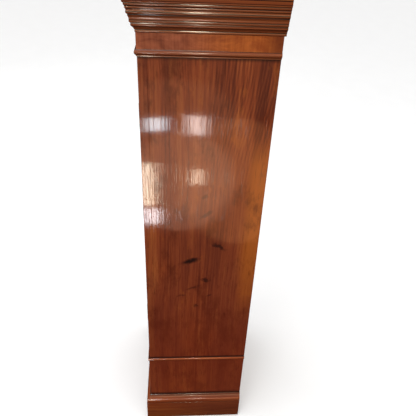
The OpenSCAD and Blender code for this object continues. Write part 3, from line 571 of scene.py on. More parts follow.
class Shape:
    """Vertices and faces of one piece, with a material number for each face."""

    def __init__(self):
        self.points, self.faces, self.slots = [], [], []

    def add(self, points, faces, slot=0):
        start = len(self.points)
        self.points += [tuple(p) for p in points]
        self.faces += [[start + i for i in face] for face in faces]
        self.slots += [slot] * len(faces)

    def loft(self, rings, slot=0, caps=True, looped=False):
        """Joins rings of equally many points into a tube, capped or closed on itself."""
        n, last = len(rings[0]), len(rings) - 1
        faces = []
        for r in range(last + looped):
            below, above = r * n, ((r + 1) % len(rings)) * n
            faces += [[below + i, below + (i + 1) % n, above + (i + 1) % n, above + i] for i in range(n)]
        if caps and not looped:
            faces += [list(range(n))[::-1], [last * n + i for i in range(n)]]
        self.add([p for ring in rings for p in ring], faces, slot)

    def lathe(self, profile, middle, axis="Z", steps=64, flute=None, hollow=False):
        """Turns (radius, height) millimetres about an axis. flute(angle, height, radius) scales the radius.

        A hollow profile is a closed outline that stays off the axis.
        """
        place = around(*middle, axis)
        rings = []
        for radius, height in profile:
            ring = []
            for i in range(steps):
                angle = 2 * math.pi * i / steps
                r = radius * MM * (flute(angle, height, radius) if flute else 1.0)
                ring.append(place(r * math.cos(angle), r * math.sin(angle), height * MM))
            rings.append(ring)
        self.loft(rings, looped=hollow)

    def block(self, lo, hi):
        """A box between two corners."""
        (x0, y0, z0), (x1, y1, z1) = lo, hi
        self.loft([[(x0, y0, z), (x1, y0, z), (x1, y1, z), (x0, y1, z)] for z in (z0, z1)])

    def run(self, section, half, front, back, base):
        """A moulding down the left side, across the front and down the right side, mitred."""
        stations = []
        for sx, sy in ((-1, 0), (-1, 1), (1, 1), (1, 0)):
            stations.append([(sx * (half + p * MM), (front - p * MM) if sy else back, base + h * MM)
                             for p, h in section])
        for i, slot in enumerate((1, 0, 1)):
            self.loft(stations[i:i + 2], slot, caps=False)
        for station in (stations[0], stations[3]):
            self.add(station, [list(range(len(station)))], 1)

    def trim(self, path, section, place, slot=0, looped=True):
        """Sweeps (offset, height) millimetres round a flat path; place(a, b, height) puts it in space."""
        path = [p for i, p in enumerate(path) if i == 0 or math.dist(p, path[i - 1]) > 0.001 * MM]
        rings = []
        for i, point in enumerate(path):
            before = path[i - 1] if looped or i > 0 else point
            after = path[(i + 1) % len(path)] if looped or i < len(path) - 1 else point
            sides = []
            for start, end in ((before, point), (point, after)):
                if start is not end:
                    step = Vector((end[0] - start[0], end[1] - start[1])).normalized()
                    sides.append(Vector((step.y, -step.x)))
            normal = sum(sides, Vector((0, 0))) / len(sides)
            normal /= max(normal.length_squared, 0.1)
            rings.append([place(point[0] + normal.x * o * MM, point[1] + normal.y * o * MM, h * MM)
                          for o, h in section])
        self.loft(rings, slot, looped=looped)

    def blade(self, path, widths, place, thick):
        """A flat bar along a front-view path in millimetres, as wide as widths says, with eased edges."""
        rings = []
        for i, (a, b) in enumerate(path):
            before, after = path[max(i - 1, 0)], path[min(i + 1, len(path) - 1)]
            step = Vector((after[0] - before[0], after[1] - before[1])).normalized()
            half, ease = widths[i] / 2, min(0.25 * thick, 0.25 * widths[i])
            ring = ((-half, 0), (half, 0), (half, thick - ease), (half - ease, thick),
                    (ease - half, thick), (-half, thick - ease))
            rings.append([place((a + step.y * o) * MM, (b - step.x * o) * MM, h * MM) for o, h in ring])
        self.loft(rings)

    def tube(self, path, radius, sides=8, lobes=0, twist=0.0):
        """A round bar along a path; radius may be a list. Lobes twist round it in radians per step."""
        rings = []
        for i, point in enumerate(path):
            ahead = Vector(path[min(i + 1, len(path) - 1)]) - Vector(path[max(i - 1, 0)])
            ahead.normalize()
            side = ahead.cross(Vector((0.0, 1.0, 0.0)))
            if side.length < 0.1:
                side = ahead.cross(Vector((1.0, 0.0, 0.0)))
            side.normalize()
            up = side.cross(ahead)
            r = radius[i] if isinstance(radius, list) else radius
            ring = []
            for k in range(sides):
                a = 2 * math.pi * k / sides
                reach = r * (1.0 - 0.14 * (1 - math.cos(lobes * (a - twist * i))))
                ring.append(Vector(point) + reach * (side * math.cos(a) + up * math.sin(a)))
            rings.append(ring)
        self.loft(rings)

    def make(self, name, body, materials, slot_name, replaces=(), sharp=38, bevel=0.0):
        """Builds the mesh, welded and facing outward, and fastens it to a body."""
        mesh = bpy.data.meshes.new(name)
        mesh.from_pydata(self.points, [], self.faces)
        for polygon, slot in zip(mesh.polygons, self.slots):
            polygon.material_index = slot
        work = bmesh.new()
        work.from_mesh(mesh)
        bmesh.ops.remove_doubles(work, verts=work.verts, dist=WELD)
        bmesh.ops.dissolve_degenerate(work, edges=work.edges, dist=WELD / 2)
        bmesh.ops.recalc_face_normals(work, faces=work.faces)
        work.to_mesh(mesh)
        work.free()
        mesh.shade_smooth()
        mesh.set_sharp_from_angle(angle=math.radians(sharp))
        for material in materials:
            mesh.materials.append(material)
        obj = bpy.data.objects.new(name, mesh)
        bpy.context.scene.collection.objects.link(obj)
        if bevel:
            add_bevel(obj, bevel)
        if body:
            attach(obj, body)
        if replaces:
            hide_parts(*replaces)
        return obj


def trimmed(name, body, material, outline, section, *places, sharp=38):
    """A strip of wood swept round an outline, at each of some places."""
    strip = Shape()
    for place in places:
        strip.trim(outline, section, place)
    strip.make(name, body, [material], "mahogany_light", sharp=sharp)


def add_bevel(obj, width):
    modifier = obj.modifiers.new("edges", "BEVEL")
    modifier.width = width * MM
    modifier.segments = 2
    modifier.limit_method = "ANGLE"
    modifier.angle_limit = math.radians(40)


# ---- Case ----

SKIRT = [(0, 0), (12.9, 0), *swell(12.9, 0, 13.7, 0.8, 0.2, 3), *swell(13.7, 77.2, 12.9, 78, 0.2, 3), (0, 78)]
PLINTH = [(0, 0), (13.7, 0), *swell(13.4, 1, 4.4, 26, 3.6, 20), (5.2, 26.5), (5.2, 28),
          *swell(4.2, 29.5, 1.5, 33, -0.6), (0, 33)]
LOWER_BEAD = [(0, 0), *swell(2.4, 0, 1.8, 12, 2.3), (0, 12)]
UPPER_BEAD = [(0, 0), (1.5, 0), *swell(1.6, 0.5, 3.6, 4, -0.5), *swell(4.2, 4.4, 3, 14, 2), (0, 14)]
FRIEZE = [(0, 0), (1.2, 0), (1.2, 33), (0, 33)]
THROAT = [(0, 0), *swell(1.6, 0, 2.2, 5, 0.6), *swell(2.8, 5.5, 7, 12, -0.5),
          *swell(7.2, 12.2, 9.4, 17.2, 0.9), (9, 17.8), (9.4, 19.6), *swell(10.8, 20.2, 11.8, 24.6, 0.6),
          *swell(11.8, 25, 14.4, 34, -0.7), (13.9, 35), (14.2, 36), *swell(14.6, 36.2, 17.2, 40.6, 0.8),
          *swell(17.1, 41.5, 17.3, 46, -0.5), *swell(17.4, 46.4, 18.8, 50.4, 0.7), (18.4, 51.2),
          *swell(19, 52, 20.8, 56, 0.5), (20.6, 57), *swell(21.4, 57.6, 23.4, 61.5, 0.8), (24, 62),
          (24, 69), *swell(24.5, 70, 45, 102, -9), (46, 102), (46, 116), (0, 116)]


def run_piece(name, node, section, back, woods, slot_name="mahogany"):
    """A moulding round the trunk, in place of a node."""
    shape = Shape()
    shape.run(section, HALF, FRONT, back, low(node).z)
    shape.make(name, "case", woods, slot_name, (node,), sharp=24)


def make_case():
    """The mouldings round the trunk, from the floor up."""
    run_piece("plinth_skirt_boards", "plinth_skirt", SKIRT, BACK, SKIRT_WOODS)
    run_piece("plinth_torus", "plinth_moulding", PLINTH, BACK, PLINTH_WOODS)
    beads = Shape()
    beads.run(LOWER_BEAD, HALF, FRONT, BACK, LOWER_BEAD_Z)
    beads.run(UPPER_BEAD, HALF, FRONT, BACK, UPPER_BEAD_Z)
    beads.make("astragals", "case", BEAD_WOODS, "mahogany_light", ("trunk_beads",), sharp=24)
    run_piece("crossbanded_frieze", "frieze", FRIEZE, BACK, [FRIEZE_WOOD] * 2, "mahogany_light")
    run_piece("throat_run", "throat_moulding", THROAT, REAR, THROAT_WOODS)


# ---- Front of the trunk ----

STICKING = [(0.5, -9.5), (0.5, -0.2), (-1.0, -0.2), *swell(-1.2, -0.8, -7, -8, 1.8, 8), (-7, -9.5)]
STRING = [(-0.6, -0.3), (0.6, -0.3), (0.6, 0.15), (-0.6, 0.15)]
INLAY_BAND = [(-3.2, -0.3), (3.2, -0.3), (3.2, 0.06), (-3.2, 0.06)]
PIN_HEAD = [(0, 0.3), (1.3, 0.3), (1.2, -0.3), (0.7, -0.7), (0, -0.8)]


def make_trunk_front():
    """Sticking round the fielded panel, the door's inlay, and the pins of its escutcheon."""
    trimmed("panel_sticking", "case", RUN_WOODS[0], rectangle("base_panel"), STICKING, on_front(FRONT))
    lock_face = low("trunk_lock").y
    on_door = on_front(lock_face + 1.5 * MM)
    inlay = Shape()
    for grow, section, slot in ((3.5, STRING, 0), (11.0, STRING, 0), (7.25, INLAY_BAND, 1)):
        inlay.trim(rectangle("trunk_door_glass", grow), section, on_door, slot)
    inlay.make("door_inlay", "trunk_door", [BOXWOOD, BAND_WOOD], "mahogany_light")
    keyhole = centre("lock_bolt").z + 10 * MM
    pins = Shape()
    for lift in (-12.5, 12.5):
        pins.lathe(PIN_HEAD, (centre("trunk_key").x, lock_face, keyhole + lift * MM), "Y", 20)
    pins.make("escutcheon_pins", "trunk_door", [CAST_BRASS], "brass")


# ---- Hood ----

HOOD_CORNICE = [(0, 0), (3, 0), *swell(3, 1, 8, 8, 1.2), (9, 8.5), (9, 11), *swell(10, 12, 26, 30, -5),
                (28, 30.5), (28, 33), *swell(29, 34, 36, 43, 1.4), (36, 48), (0, 48)]
WINDOW_BEAD = [(-1, -2), (-1, 1.6), *swell(0, 2.4, 6, 2.4, 1.0, 8), (8, 0.6), (8, -2)]
HOOD_BEAD = [(0.4, -6), (0.4, 0.6), *swell(1, 1.8, 6, 1.8, 1.1, 8), (7.2, 0.4), (7.2, -6)]
NECK = [(-13.5, 0), (-13.5, 4), *swell(-13, 5, -7, 7.5, -1.0, 8), (-6.4, 9), (-4.6, 9),
        *swell(-4, 9.8, 5, 15.2, 2.2), (5.4, 16.4), (6.8, 16.4), *swell(7.2, 16.9, 13, 16.9, -1.0, 8),
        (13.5, 16), (13.5, 0)]
BRASS_FOOT = [(0, 5.5), (14.2, 5.5), *swell(14.6, 6, 14.6, 11, 1.2, 8), (13.2, 11.6),
              *swell(13.2, 12.2, 12.8, 15.4, -0.8, 8), (13.4, 16), *swell(13.6, 16.4, 13.6, 19.4, 0.9, 8),
              (13.3, 20), (13.3, 22), (0, 22)]
SCROLL_DISC = [(0, 0), (22, 0), (22, -11), (20.6, -12), (20.6, -13), *swell(21.4, -13.6, 21.4, -17, 0.5, 6),
               (20.6, -18), (0, -18)]
ROSETTE = [(0, 0), (16.2, 0), (16.2, -1.4), (15, -2.8), (12.8, -3.6), (10.8, -2.9), (9.4, -2.8), (8.2, -4.6),
           (6.4, -6.5), (3.8, -7.6), (1.6, -8), (0, -8)]
FINIAL = [(0, 0), (13, 0), (13, 4), (12, 5), *swell(6, 8, 6, 16, -2, 8), (8.6, 17), (8.6, 19),
          *swell(10, 20, 13, 48, 6), (7, 53), *swell(5, 55, 5, 72, 8), (3, 74), (1.6, 90), (0.7, 98),
          (0, 100)]
FLUTES = 12
COLUMN_RADIUS = 13
DENTIL_PITCH = 11 * MM
COLUMN_FOOT = 22 * MM
NECK_FOOT_X = 217 * MM
SIDE_URN_X = 237 * MM


def column_radius(height, length):
    """A column's radius in millimetres, with its taper and entasis."""
    t = height / length
    return COLUMN_RADIUS - 2 * t + 0.8 * math.sin(math.pi * t)


def make_columns(x, y, base, length):
    """Fluted columns, plain at both ends."""
    ends = [0, 8, 9, 10, 12, 15]
    heights = ends + [20 + (length - 40) * i / 24 for i in range(25)] + [length - h for h in ends[::-1]]
    profile = [(0, 0), *((column_radius(h, length), h) for h in heights), (0, length)]

    def fluted(angle, height, radius):
        fade = min(1.0, max(0.0, (height - 8) / 7), max(0.0, (length - 8 - height) / 7))
        return 1.0 - 0.10 * math.sqrt(fade * max(0.0, math.cos(FLUTES * angle)))

    columns = Shape()
    for side in (-1, 1):
        columns.lathe(profile, (side * x, y, base), steps=12 * FLUTES, flute=fluted)
    columns.make("fluted_columns", "hood", [UP_WOOD], "mahogany", ("hood_columns",), sharp=50)


def make_stop_rods(x, y, base, length):
    """Brass rods in the lower flutes."""
    rods = Shape()
    for side in (-1, 1):
        for i in range(FLUTES):
            c, s = math.cos(2 * math.pi * i / FLUTES), math.sin(2 * math.pi * i / FLUTES)
            path = []
            for h in (14, 16, 70, 150, 152):
                r = (column_radius(h, length) - 1.1) * MM
                path.append((side * x + r * c, y + r * s, base + h * MM))
            rods.tube(path, [r * MM for r in (0.3, 1.15, 1.15, 1.15, 0.3)])
    rods.make("column_stop_rods", "hood", [BRASS], "brass")


def petals(angle, height, radius):
    return 1 + 0.05 * math.cos(8 * angle) if radius > 9 else 1.0


def make_hood_brasses(x, y, base, length):
    """The columns' turned feet and caps, and the rosettes in the scrolls."""
    brasses = Shape()
    half, thick = 16 * MM, 6 * MM
    for side in (-1, 1):
        for end, up in ((base - COLUMN_FOOT, 1), (base + length * MM + COLUMN_FOOT, -1)):
            z0, z1 = sorted((end, end + up * thick))
            brasses.block((side * x - half, y - half, z0), (side * x + half, y + half, z1))
            brasses.lathe([(r, up * h) for r, h in BRASS_FOOT], (side * x, y, end))
        brasses.lathe(ROSETTE, (side * SCROLL_X, low("swan_necks").y, SCROLL_Z), "Y", 96, petals)
    brasses.make("column_brasses_and_rosettes", "hood", [CAST_BRASS], "brass", ("hood_brasses",), bevel=0.5)


def make_swan_necks(base, back):
    """The two S-shaped mouldings, each rising to a scroll."""
    x0, z0 = NECK_FOOT_X, base + 14 * MM
    x1, z1 = SCROLL_X + 14 * MM, SCROLL_Z + 8 * MM
    necks = Shape()
    for side in (-1, 1):
        rings = []
        for i in range(49):
            t = i / 48
            x, z = x0 + (x1 - x0) * t, z0 + (z1 - z0) * t * t * (3 - 2 * t)
            rings.append([(side * x, back - d * MM, z + o * MM) for o, d in NECK])
        necks.loft(rings)
        necks.lathe(SCROLL_DISC, (side * SCROLL_X, back, SCROLL_Z), "Y", 72)
    necks.make("swan_neck_mouldings", "hood", [WARM_WOOD], "mahogany_light", ("swan_necks",), sharp=30)


def make_carving(base, back):
    """Scrolls on the board behind the swan necks."""
    carving = Shape()
    radii = [(2.4 - 1.3 * i / 30) * MM * (0.35 + 0.65 * min(1.0, i / 6)) for i in range(31)]
    for side in (-1, 1):
        for cx, cz, r, turn in ((70, 34, 20, 1), (112, 26, 13, -1), (146, 22, 8, 1)):
            points = spiral(cx, cz, r, r * 0.18, -150 * turn, 330 * turn)
            carving.tube([(side * a * MM, back + 0.6 * MM, base + b * MM) for a, b in points], radii)
    carving.make("tympanum_carving", "hood", [UP_WOOD], "mahogany_light")


def make_finials():
    """One tall and two small urns with gadrooned bodies."""
    lo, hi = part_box("finials")
    finials = Shape()
    for x, y, z, tall in ((0.0, FRONT - 47 * MM, hi.z - 110 * MM, 110),
                          (-SIDE_URN_X, FRONT - 48 * MM, lo.z, 95), (SIDE_URN_X, FRONT - 48 * MM, lo.z, 95)):
        def gadroons(angle, height, radius, tall=tall):
            t = height / tall
            fade = min(1.0, max(0.0, (t - 0.20) * 12), max(0.0, (0.48 - t) * 12))
            return 1 - 0.05 * fade * (1 - abs(math.sin(8 * angle)))
        outline = [(r * tall / 100, h * tall / 100) for r, h in FINIAL]
        finials.lathe(outline, (x, y, z), steps=96, flute=gadroons)
    finials.make("turned_finials", "hood", [CAST_BRASS], "brass", ("finials",), sharp=50)


def make_cornice(outer):
    """The hood's cornice, with a row of dentils under it."""
    face, eaves = low("hood_frieze").y, low("hood_cornice").z
    cornice = Shape()
    cornice.run(HOOD_CORNICE, outer, face, REAR, eaves)
    cornice.make("hood_cornice_run", "hood", RUN_WOODS, "mahogany", ("hood_cornice",), sharp=24)
    dentils = Shape()
    z0, z1, half, sunk, proud = eaves - 10 * MM, eaves - 1.5 * MM, 3.2 * MM, 0.3 * MM, 3.2 * MM
    for i in range(-19, 20):
        x = i * DENTIL_PITCH
        dentils.block((x - half, face - proud, z0), (x + half, face + sunk, z1))
    for i in range(1, 31):
        y = face + i * DENTIL_PITCH
        for side in (-1, 1):
            x0, x1 = sorted((side * (outer - sunk), side * (outer + proud)))
            dentils.block((x0, y - half, z0), (x1, y + half, z1))
    dentils.make("dentils", "hood", [UP_WOOD], "mahogany_light")


def make_window_beads(outer):
    """A bead round each side window, on the outside of the hood."""
    lo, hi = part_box("hood_side_glass")
    hidden = 8 * MM
    arch = (hi.y - lo.y) / 2 - hidden
    spring = hi.z - hidden - arch
    window = break_arch(arch, lo.z + hidden, spring, arch, spring, (lo.y + hi.y) / 2)
    trimmed("window_beads", "hood", UP_WOOD, window, WINDOW_BEAD, on_side(-outer), on_side(outer), sharp=30)


def make_hood():
    """The columns, pediment and cornice of the hood."""
    outer = high("hood_sides").x
    base, back = high("hood_cornice").z, high("swan_necks").y
    lo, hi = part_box("hood_columns")
    columns = (hi.x - COLUMN_RADIUS * MM, (lo.y + hi.y) / 2, lo.z, (hi.z - lo.z) / MM)
    make_columns(*columns)
    make_stop_rods(*columns)
    make_hood_brasses(*columns)
    make_swan_necks(base, back)
    make_carving(base, back)
    make_finials()
    make_cornice(outer)
    make_window_beads(outer)


def make_hood_door():
    """The glazed door over the dial: a bead round its arched opening, and a string."""
    on_face = on_front(low("hood_door_frame").y)
    lo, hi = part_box("hood_door_glass")
    hidden = 5 * MM
    opening = break_arch(hi.x - hidden, lo.z + hidden, DIAL_Z + 150 * MM, hi.z - ARCH_Z - hidden, ARCH_Z)
    trimmed("hood_door_bead", "hood_door", WARM_WOOD, opening, HOOD_BEAD, on_face, sharp=30)
    trimmed("hood_door_string", "hood_door", BOXWOOD, rectangle("hood_door_frame", -8), STRING, on_face)


# ---- Dial and hands ----

STROKE = 0.1
DIGITS = {
    "0": [(0.3 * math.cos(a / 8 * math.pi), 0.5 * math.sin(a / 8 * math.pi)) for a in range(17)],
    "1": [(-0.2, 0.3), (0.0, 0.5), (0.0, -0.5)],
    "2": [(-0.28, 0.25), (-0.14, 0.47), (0.14, 0.47), (0.28, 0.22), (0.16, -0.05), (-0.28, -0.48),
          (0.3, -0.48)],
    "3": [(-0.26, 0.4), (0.0, 0.5), (0.26, 0.3), (0.0, 0.05), (0.28, -0.2), (0.0, -0.5), (-0.28, -0.36)],
    "4": [(0.12, -0.5), (0.12, 0.5), (-0.3, -0.16), (0.3, -0.16)],
    "5": [(0.26, 0.48), (-0.18, 0.48), (-0.24, 0.06), (0.04, 0.12), (0.28, -0.18), (0.04, -0.5),
          (-0.28, -0.4)],
    "6": [(0.2, 0.44), (-0.12, 0.3), (-0.3, -0.15), (0.0, -0.5), (0.28, -0.2), (0.0, 0.06), (-0.27, -0.1)],
}
ROMAN = ("XII", "I", "II", "III", "IIII", "V", "VI", "VII", "VIII", "IX", "X", "XI")
LETTER_WIDTH = {"I": 4.2, "V": 9.6, "X": 9.6}


def polar(centre_z, angle, radius, face):
    """Places marks at an angle clockwise from the top of a ring: across, outward, proud."""
    s, c = math.sin(math.radians(angle)), math.cos(math.radians(angle))
    reach = radius * MM
    return lambda a, b, h: (s * (reach + b) + c * a, face - h, centre_z + c * (reach + b) - s * a)


def mark(shape, points, width, place, looped=False):
    """One engraved stroke, filled with wax to just above the metal. Millimetres."""
    half = width / 2
    section = [(-half, -STROKE), (half, -STROKE), (half, STROKE), (-half, STROKE)]
    shape.trim([(a * MM, b * MM) for a, b in points], section, place, 0, looped)


def mark_tick(shape, length, width, place):
    """A stroke that points outward."""
    mark(shape, [(0, -length / 2), (0, length / 2)], width, place)


def mark_number(shape, text, height, width, place):
    """A small Arabic number."""
    for i, digit in enumerate(text):
        shift = (i - (len(text) - 1) / 2) * 0.78 * height
        mark(shape, [(shift + a * height, b * height) for a, b in DIGITS[digit]], width, place)


def mark_roman(shape, text, height, place):
    """A Roman numeral with thick and thin strokes and long serifs."""
    total, h, reach = sum(LETTER_WIDTH[letter] for letter in text), height / 2, 3.3
    x = -total / 2
    for letter in text:
        mid = x + LETTER_WIDTH[letter] / 2
        x += LETTER_WIDTH[letter]
        if letter == "I":
            mark(shape, [(mid, -h), (mid, h)], 2.3, place)
        else:
            foot = 0.0 if letter == "V" else reach
            mark(shape, [(mid - reach, h), (mid + foot, -h)], 2.3, place)
            mark(shape, [(mid + reach, h), (mid - foot, -h)], 0.7, place)
    for level in (-h, h):
        mark(shape, [(0.4 - total / 2, level), (total / 2 - 0.4, level)], 0.6, place)


def mark_rings(shape, centre_z, face, rings):
    """Whole circles, given by radius and width."""
    for radius, width in rings:
        whole = arc(0.0, 0.0, radius, 0.0, 360.0, 120)[:-1]
        mark(shape, whole, width, on_front(face, centre_z), True)


def engrave_hours(ink, face):
    """Numerals, five-minute numbers, half-hour marks and the minute track."""
    mark_rings(ink, DIAL_Z, face, ((99.2, 0.5), (101.5, 0.3), (126.5, 0.35), (130.8, 0.35), (137.0, 0.4)))
    for i in range(60):
        mark_tick(ink, 4.3, 0.4 if i % 5 else 1.1, polar(DIAL_Z, 6 * i, 128.65, face))
    for i, text in enumerate(ROMAN):
        hour = 30 * i
        mark_roman(ink, text, 20.0, polar(DIAL_Z, hour, 114, face))
        mark_number(ink, str(5 * i or 60), 4.6, 0.55, polar(DIAL_Z, hour, 133.9, face))
        for tip in ((-2.6, 2.0), (0, 5.5), (2.6, 2.0), (0, -5.0)):
            mark(ink, [(0, 0), tip], 1.0, polar(DIAL_Z, hour + 15, 114, face))
        for quarter in (0, 7.5, 15, 22.5):
            mark_tick(ink, 2.2, 0.5, polar(DIAL_Z, hour + quarter, 100.4, face))


def engrave_seconds(ink, face):
    """The seconds track and its numbers."""
    mark_rings(ink, SECONDS_Z, face, ((18.0, 0.3), (25.4, 0.3), (28.2, 0.3)))
    for i in range(60):
        mark_tick(ink, 2.8, 0.3 if i % 5 else 0.7, polar(SECONDS_Z, 6 * i, 26.8, face))
    for i in range(6):
        mark_number(ink, str(10 * i or 60), 3.8, 0.5, polar(SECONDS_Z, 60 * i, 21.8, face))


def engrave_boss(ink, face):
    """A star of eight rays, long and short by turns."""
    for i in range(8):
        for side in (-1, 1):
            foot = side * 8.8 * math.tan(math.pi / 8)
            mark(ink, [(foot, 9), (0, 17 if i % 2 else 26)], 0.5, polar(BOSS_Z, 45 * i, 0, face))


def make_engraving():
    """All that is engraved on the dial, in black wax."""
    ink = Shape()
    engrave_hours(ink, low("chapter_ring").y)
    engrave_seconds(ink, DIAL_Y - 1 * MM)
    engrave_boss(ink, DIAL_Y - 2 * MM)
    ink.make("dial_engraving", "case", [INK], "silvered")


CORNER_BUTTON = [(0, 0), (6, 0), (5.6, -1.2), (4, -2.2), (2, -2.7), (0, -2.8)]
BOSS_RIM = [(0, 0), (36, 0), (36, -1.1), *swell(35.6, -1.6, 31.6, -1.6, -1.0, 8), (31, -1.0), (0, -1.0)]
WINDING_COLLAR = [(6.0, 0), (8.6, 0), (8.6, -0.8), (7.6, -1.6), (6.4, -1.4), (6.0, -0.6)]
BOSS = [(0, 0), (31, 0), (31, -1.6), (30.4, -2.0), (0, -2.0)]
CORNER_SCROLLS = ((-20, 13, 10, 1), (-40, 15.5, 6, -1), (-54, 17.5, 4, 1))
ARCH_SCROLLS = ((50, 30, 11, 1), (71, 20, 8, -1), (86, 12, 5, 1))


def cast_scroll(cast, points, thick, place):
    """A tapering scroll of cast brass."""
    steps = len(points) - 1
    radii = [thick * MM * (1.0 - 0.55 * i / steps) * min(1.0, 0.4 + i / 8) for i in range(steps + 1)]
    cast.tube([place(a, b) for a, b in points], radii)


def cast_corner(cast, y, sx, sz):
    """One spandrel: scrolls both ways, a fan of seven rays and a button."""
    def place(a, b):
        return (sx * (127 + a) * MM, y, DIAL_Z + sz * (127 + b) * MM)
    for cx, cz, r, turn in CORNER_SCROLLS:
        points = spiral(cx, cz, r, r * 0.2, -30 * turn, 400 * turn)
        for path in (points, [(b, a) for a, b in points]):
            cast_scroll(cast, path, 1.9 * r / 10 + 0.5, place)
    for turn in range(7):
        angle = math.radians(225 + 26 * (turn - 3))
        ray = [place(7 + r * math.cos(angle), 7 + r * math.sin(angle)) for r in (3, 6, 9, 12, 14)]
        cast.tube(ray, [r * MM for r in (1.2, 1.7, 2.0, 1.8, 0.7)])
    cx, _, cz = place(9, 9)
    cast.lathe(CORNER_BUTTON, (cx, DIAL_Y, cz), "Y", 32)


def make_ornaments():
    """Cast scrollwork in the corners and arch, the domed boss, and a collar round the winding hole."""
    cast = Shape()
    y = DIAL_Y - 0.7 * MM
    for sx in (-1, 1):
        for sz in (-1, 1):
            cast_corner(cast, y, sx, sz)
    for side in (-1, 1):
        for cx, cz, r, turn in ARCH_SCROLLS:
            cast_scroll(cast, spiral(cx, cz, r, r * 0.2, 150 * turn, 560 * turn), 1.9 * r / 11 + 0.4,
                        lambda a, b: (side * a * MM, y, ARCH_Z + b * MM))
    cast.lathe(BOSS_RIM, (0.0, DIAL_Y, BOSS_Z), "Y", 96)
    cast.lathe(WINDING_COLLAR, (0.0, DIAL_Y, BARREL_Z), "Y", 48, hollow=True)
    cast.make("cast_spandrels_and_boss_rim", "case", [CAST_BRASS], "brass", ("dial_spandrels",), sharp=50)
    boss = Shape()
    boss.lathe(BOSS, (0.0, DIAL_Y, BOSS_Z), "Y", 96)
    boss.make("arch_boss", "case", [SILVERED], "silvered", sharp=60)


def oval(z0, z1, wide):
    """Half of a pointed oval between two heights."""
    steps = [i / 16 for i in range(17)]
    return [(wide * math.sin(math.pi * t) ** 0.8, z0 + (z1 - z0) * t) for t in steps]


def column_of(*heights):
    """Points on a hand's middle line."""
    return [(0, height) for height in heights]


HOUR_HUB = [(4.62, 0.9), (7, 0.9), (7, 0), (9, 0), (9, -1.3), (8.7, -1.6), (4.9, -1.6), (4.62, -1.3)]
HOUR_BARS = (
    # points, and the width at each
    (column_of(8, 16, 31), (5.4, 3.6, 2.6)),
    ([(-5, 30), (-3, 31), (3, 31), (5, 30)], (0.8, 2.2, 2.2, 0.8)),
    (column_of(31, 44, 58), (1.4, 1.2, 2.0)),
    (column_of(57, 61, 66, 70, 78, 86), (2.4, 4.0, 9.0, 10.0, 4.4, 0.8)),
)
HOUR_PAIRS = (
    # points, and one width, for bars that have a mirror image
    (oval(31, 58, 10), 1.9),
    (spiral(4.4, 48, 4.6, 1.6, 75, -330, 20), 1.2),
    (spiral(4.5, 62, 4.4, 1.5, 225, -150, 18), 1.3),
)
MINUTE_HUB = [(1.6, 31.3), (3.4, 31.3), (3.4, 0), (8, 0), (8, -1.2), (7.7, -1.5), (1.9, -1.5), (1.6, -1.2)]
MINUTE_BARS = (
    (column_of(7, 15, 27), (4.6, 3.0, 2.2)),
    ([(-4, 26), (-2, 27), (2, 27), (4, 26)], (0.7, 1.8, 1.8, 0.7)),
    (column_of(27, 37, 47), (1.0, 0.9, 1.4)),
    (column_of(61, 66, 84, 104, 122), (2.2, 3.6, 2.8, 1.8, 0.7)),
    (column_of(-7, -13, -20, -26), (3.0, 3.4, 5.4, 5.8)),
)
MINUTE_PAIRS = (
    (oval(27, 47, 5.6), 1.5),
    (spiral(3.6, 50.5, 3.6, 1.2, 225, -140, 16), 1.1),
    (oval(47, 62, 3.4), 1.3),
)


def pierced_hand(node, thick, hub, hub_steps, bars, pairs):
    """A pierced hand, turned at its hub and cut from a sheet of some thickness."""
    hand = Shape()
    back = low(node).y + thick * MM
    hand.lathe(hub, (0.0, back, DIAL_Z), "Y", hub_steps, hollow=True)
    place = on_front(back, DIAL_Z)
    for points, widths in bars:
        hand.blade(points, widths, place, thick)
    for points, width in pairs:
        for side in (-1, 1):
            hand.blade([(side * a, b) for a, b in points], [width] * len(points), place, thick)
    return hand


def gear_outline(teeth, module, add, ded, tip, root):
    """The same straight-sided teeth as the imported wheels, in millimetres."""
    r, half = teeth * module / 2, math.pi / teeth
    points = []
    for i in range(teeth):
        for turn, rise in ((-root, -ded), (-tip, add), (tip, add), (root, -ded)):
            angle, q = half * (2 * i + turn), r + rise * module
            points.append((q * math.cos(angle), q * math.sin(angle)))
    return points


def make_hands():
    """Blued hands; the minute hand carries its pipe and the wheel that drives the motion work."""
    hour = pierced_hand("hour_hand", 1.6, HOUR_HUB, 64, HOUR_BARS, HOUR_PAIRS)
    hour.make("pierced_hour_hand", "hour", [BLUED], "blued_steel", ("hour_hand",))
    minute = pierced_hand("minute_hand", 1.5, MINUTE_HUB, 48, MINUTE_BARS, MINUTE_PAIRS)
    outline = gear_outline(24, 0.5125, 0.5, 1.2, 0.18, 0.36)
    bore = [(1.7 * math.cos(math.atan2(b, a)), 1.7 * math.sin(math.atan2(b, a))) for a, b in outline]
    front, back = FRONT_PLATE - 8.5 * MM, FRONT_PLATE - 6.5 * MM
    rings = [[(a * MM, y, DIAL_Z + b * MM) for a, b in edge]
             for edge, y in ((outline, front), (outline, back), (bore, back), (bore, front))]
    minute.loft(rings, looped=True)
    minute.make("pierced_minute_hand", "centre", [BLUED], "blued_steel", ("minute_hand",))


# ---- Movement, pendulum and weight ----

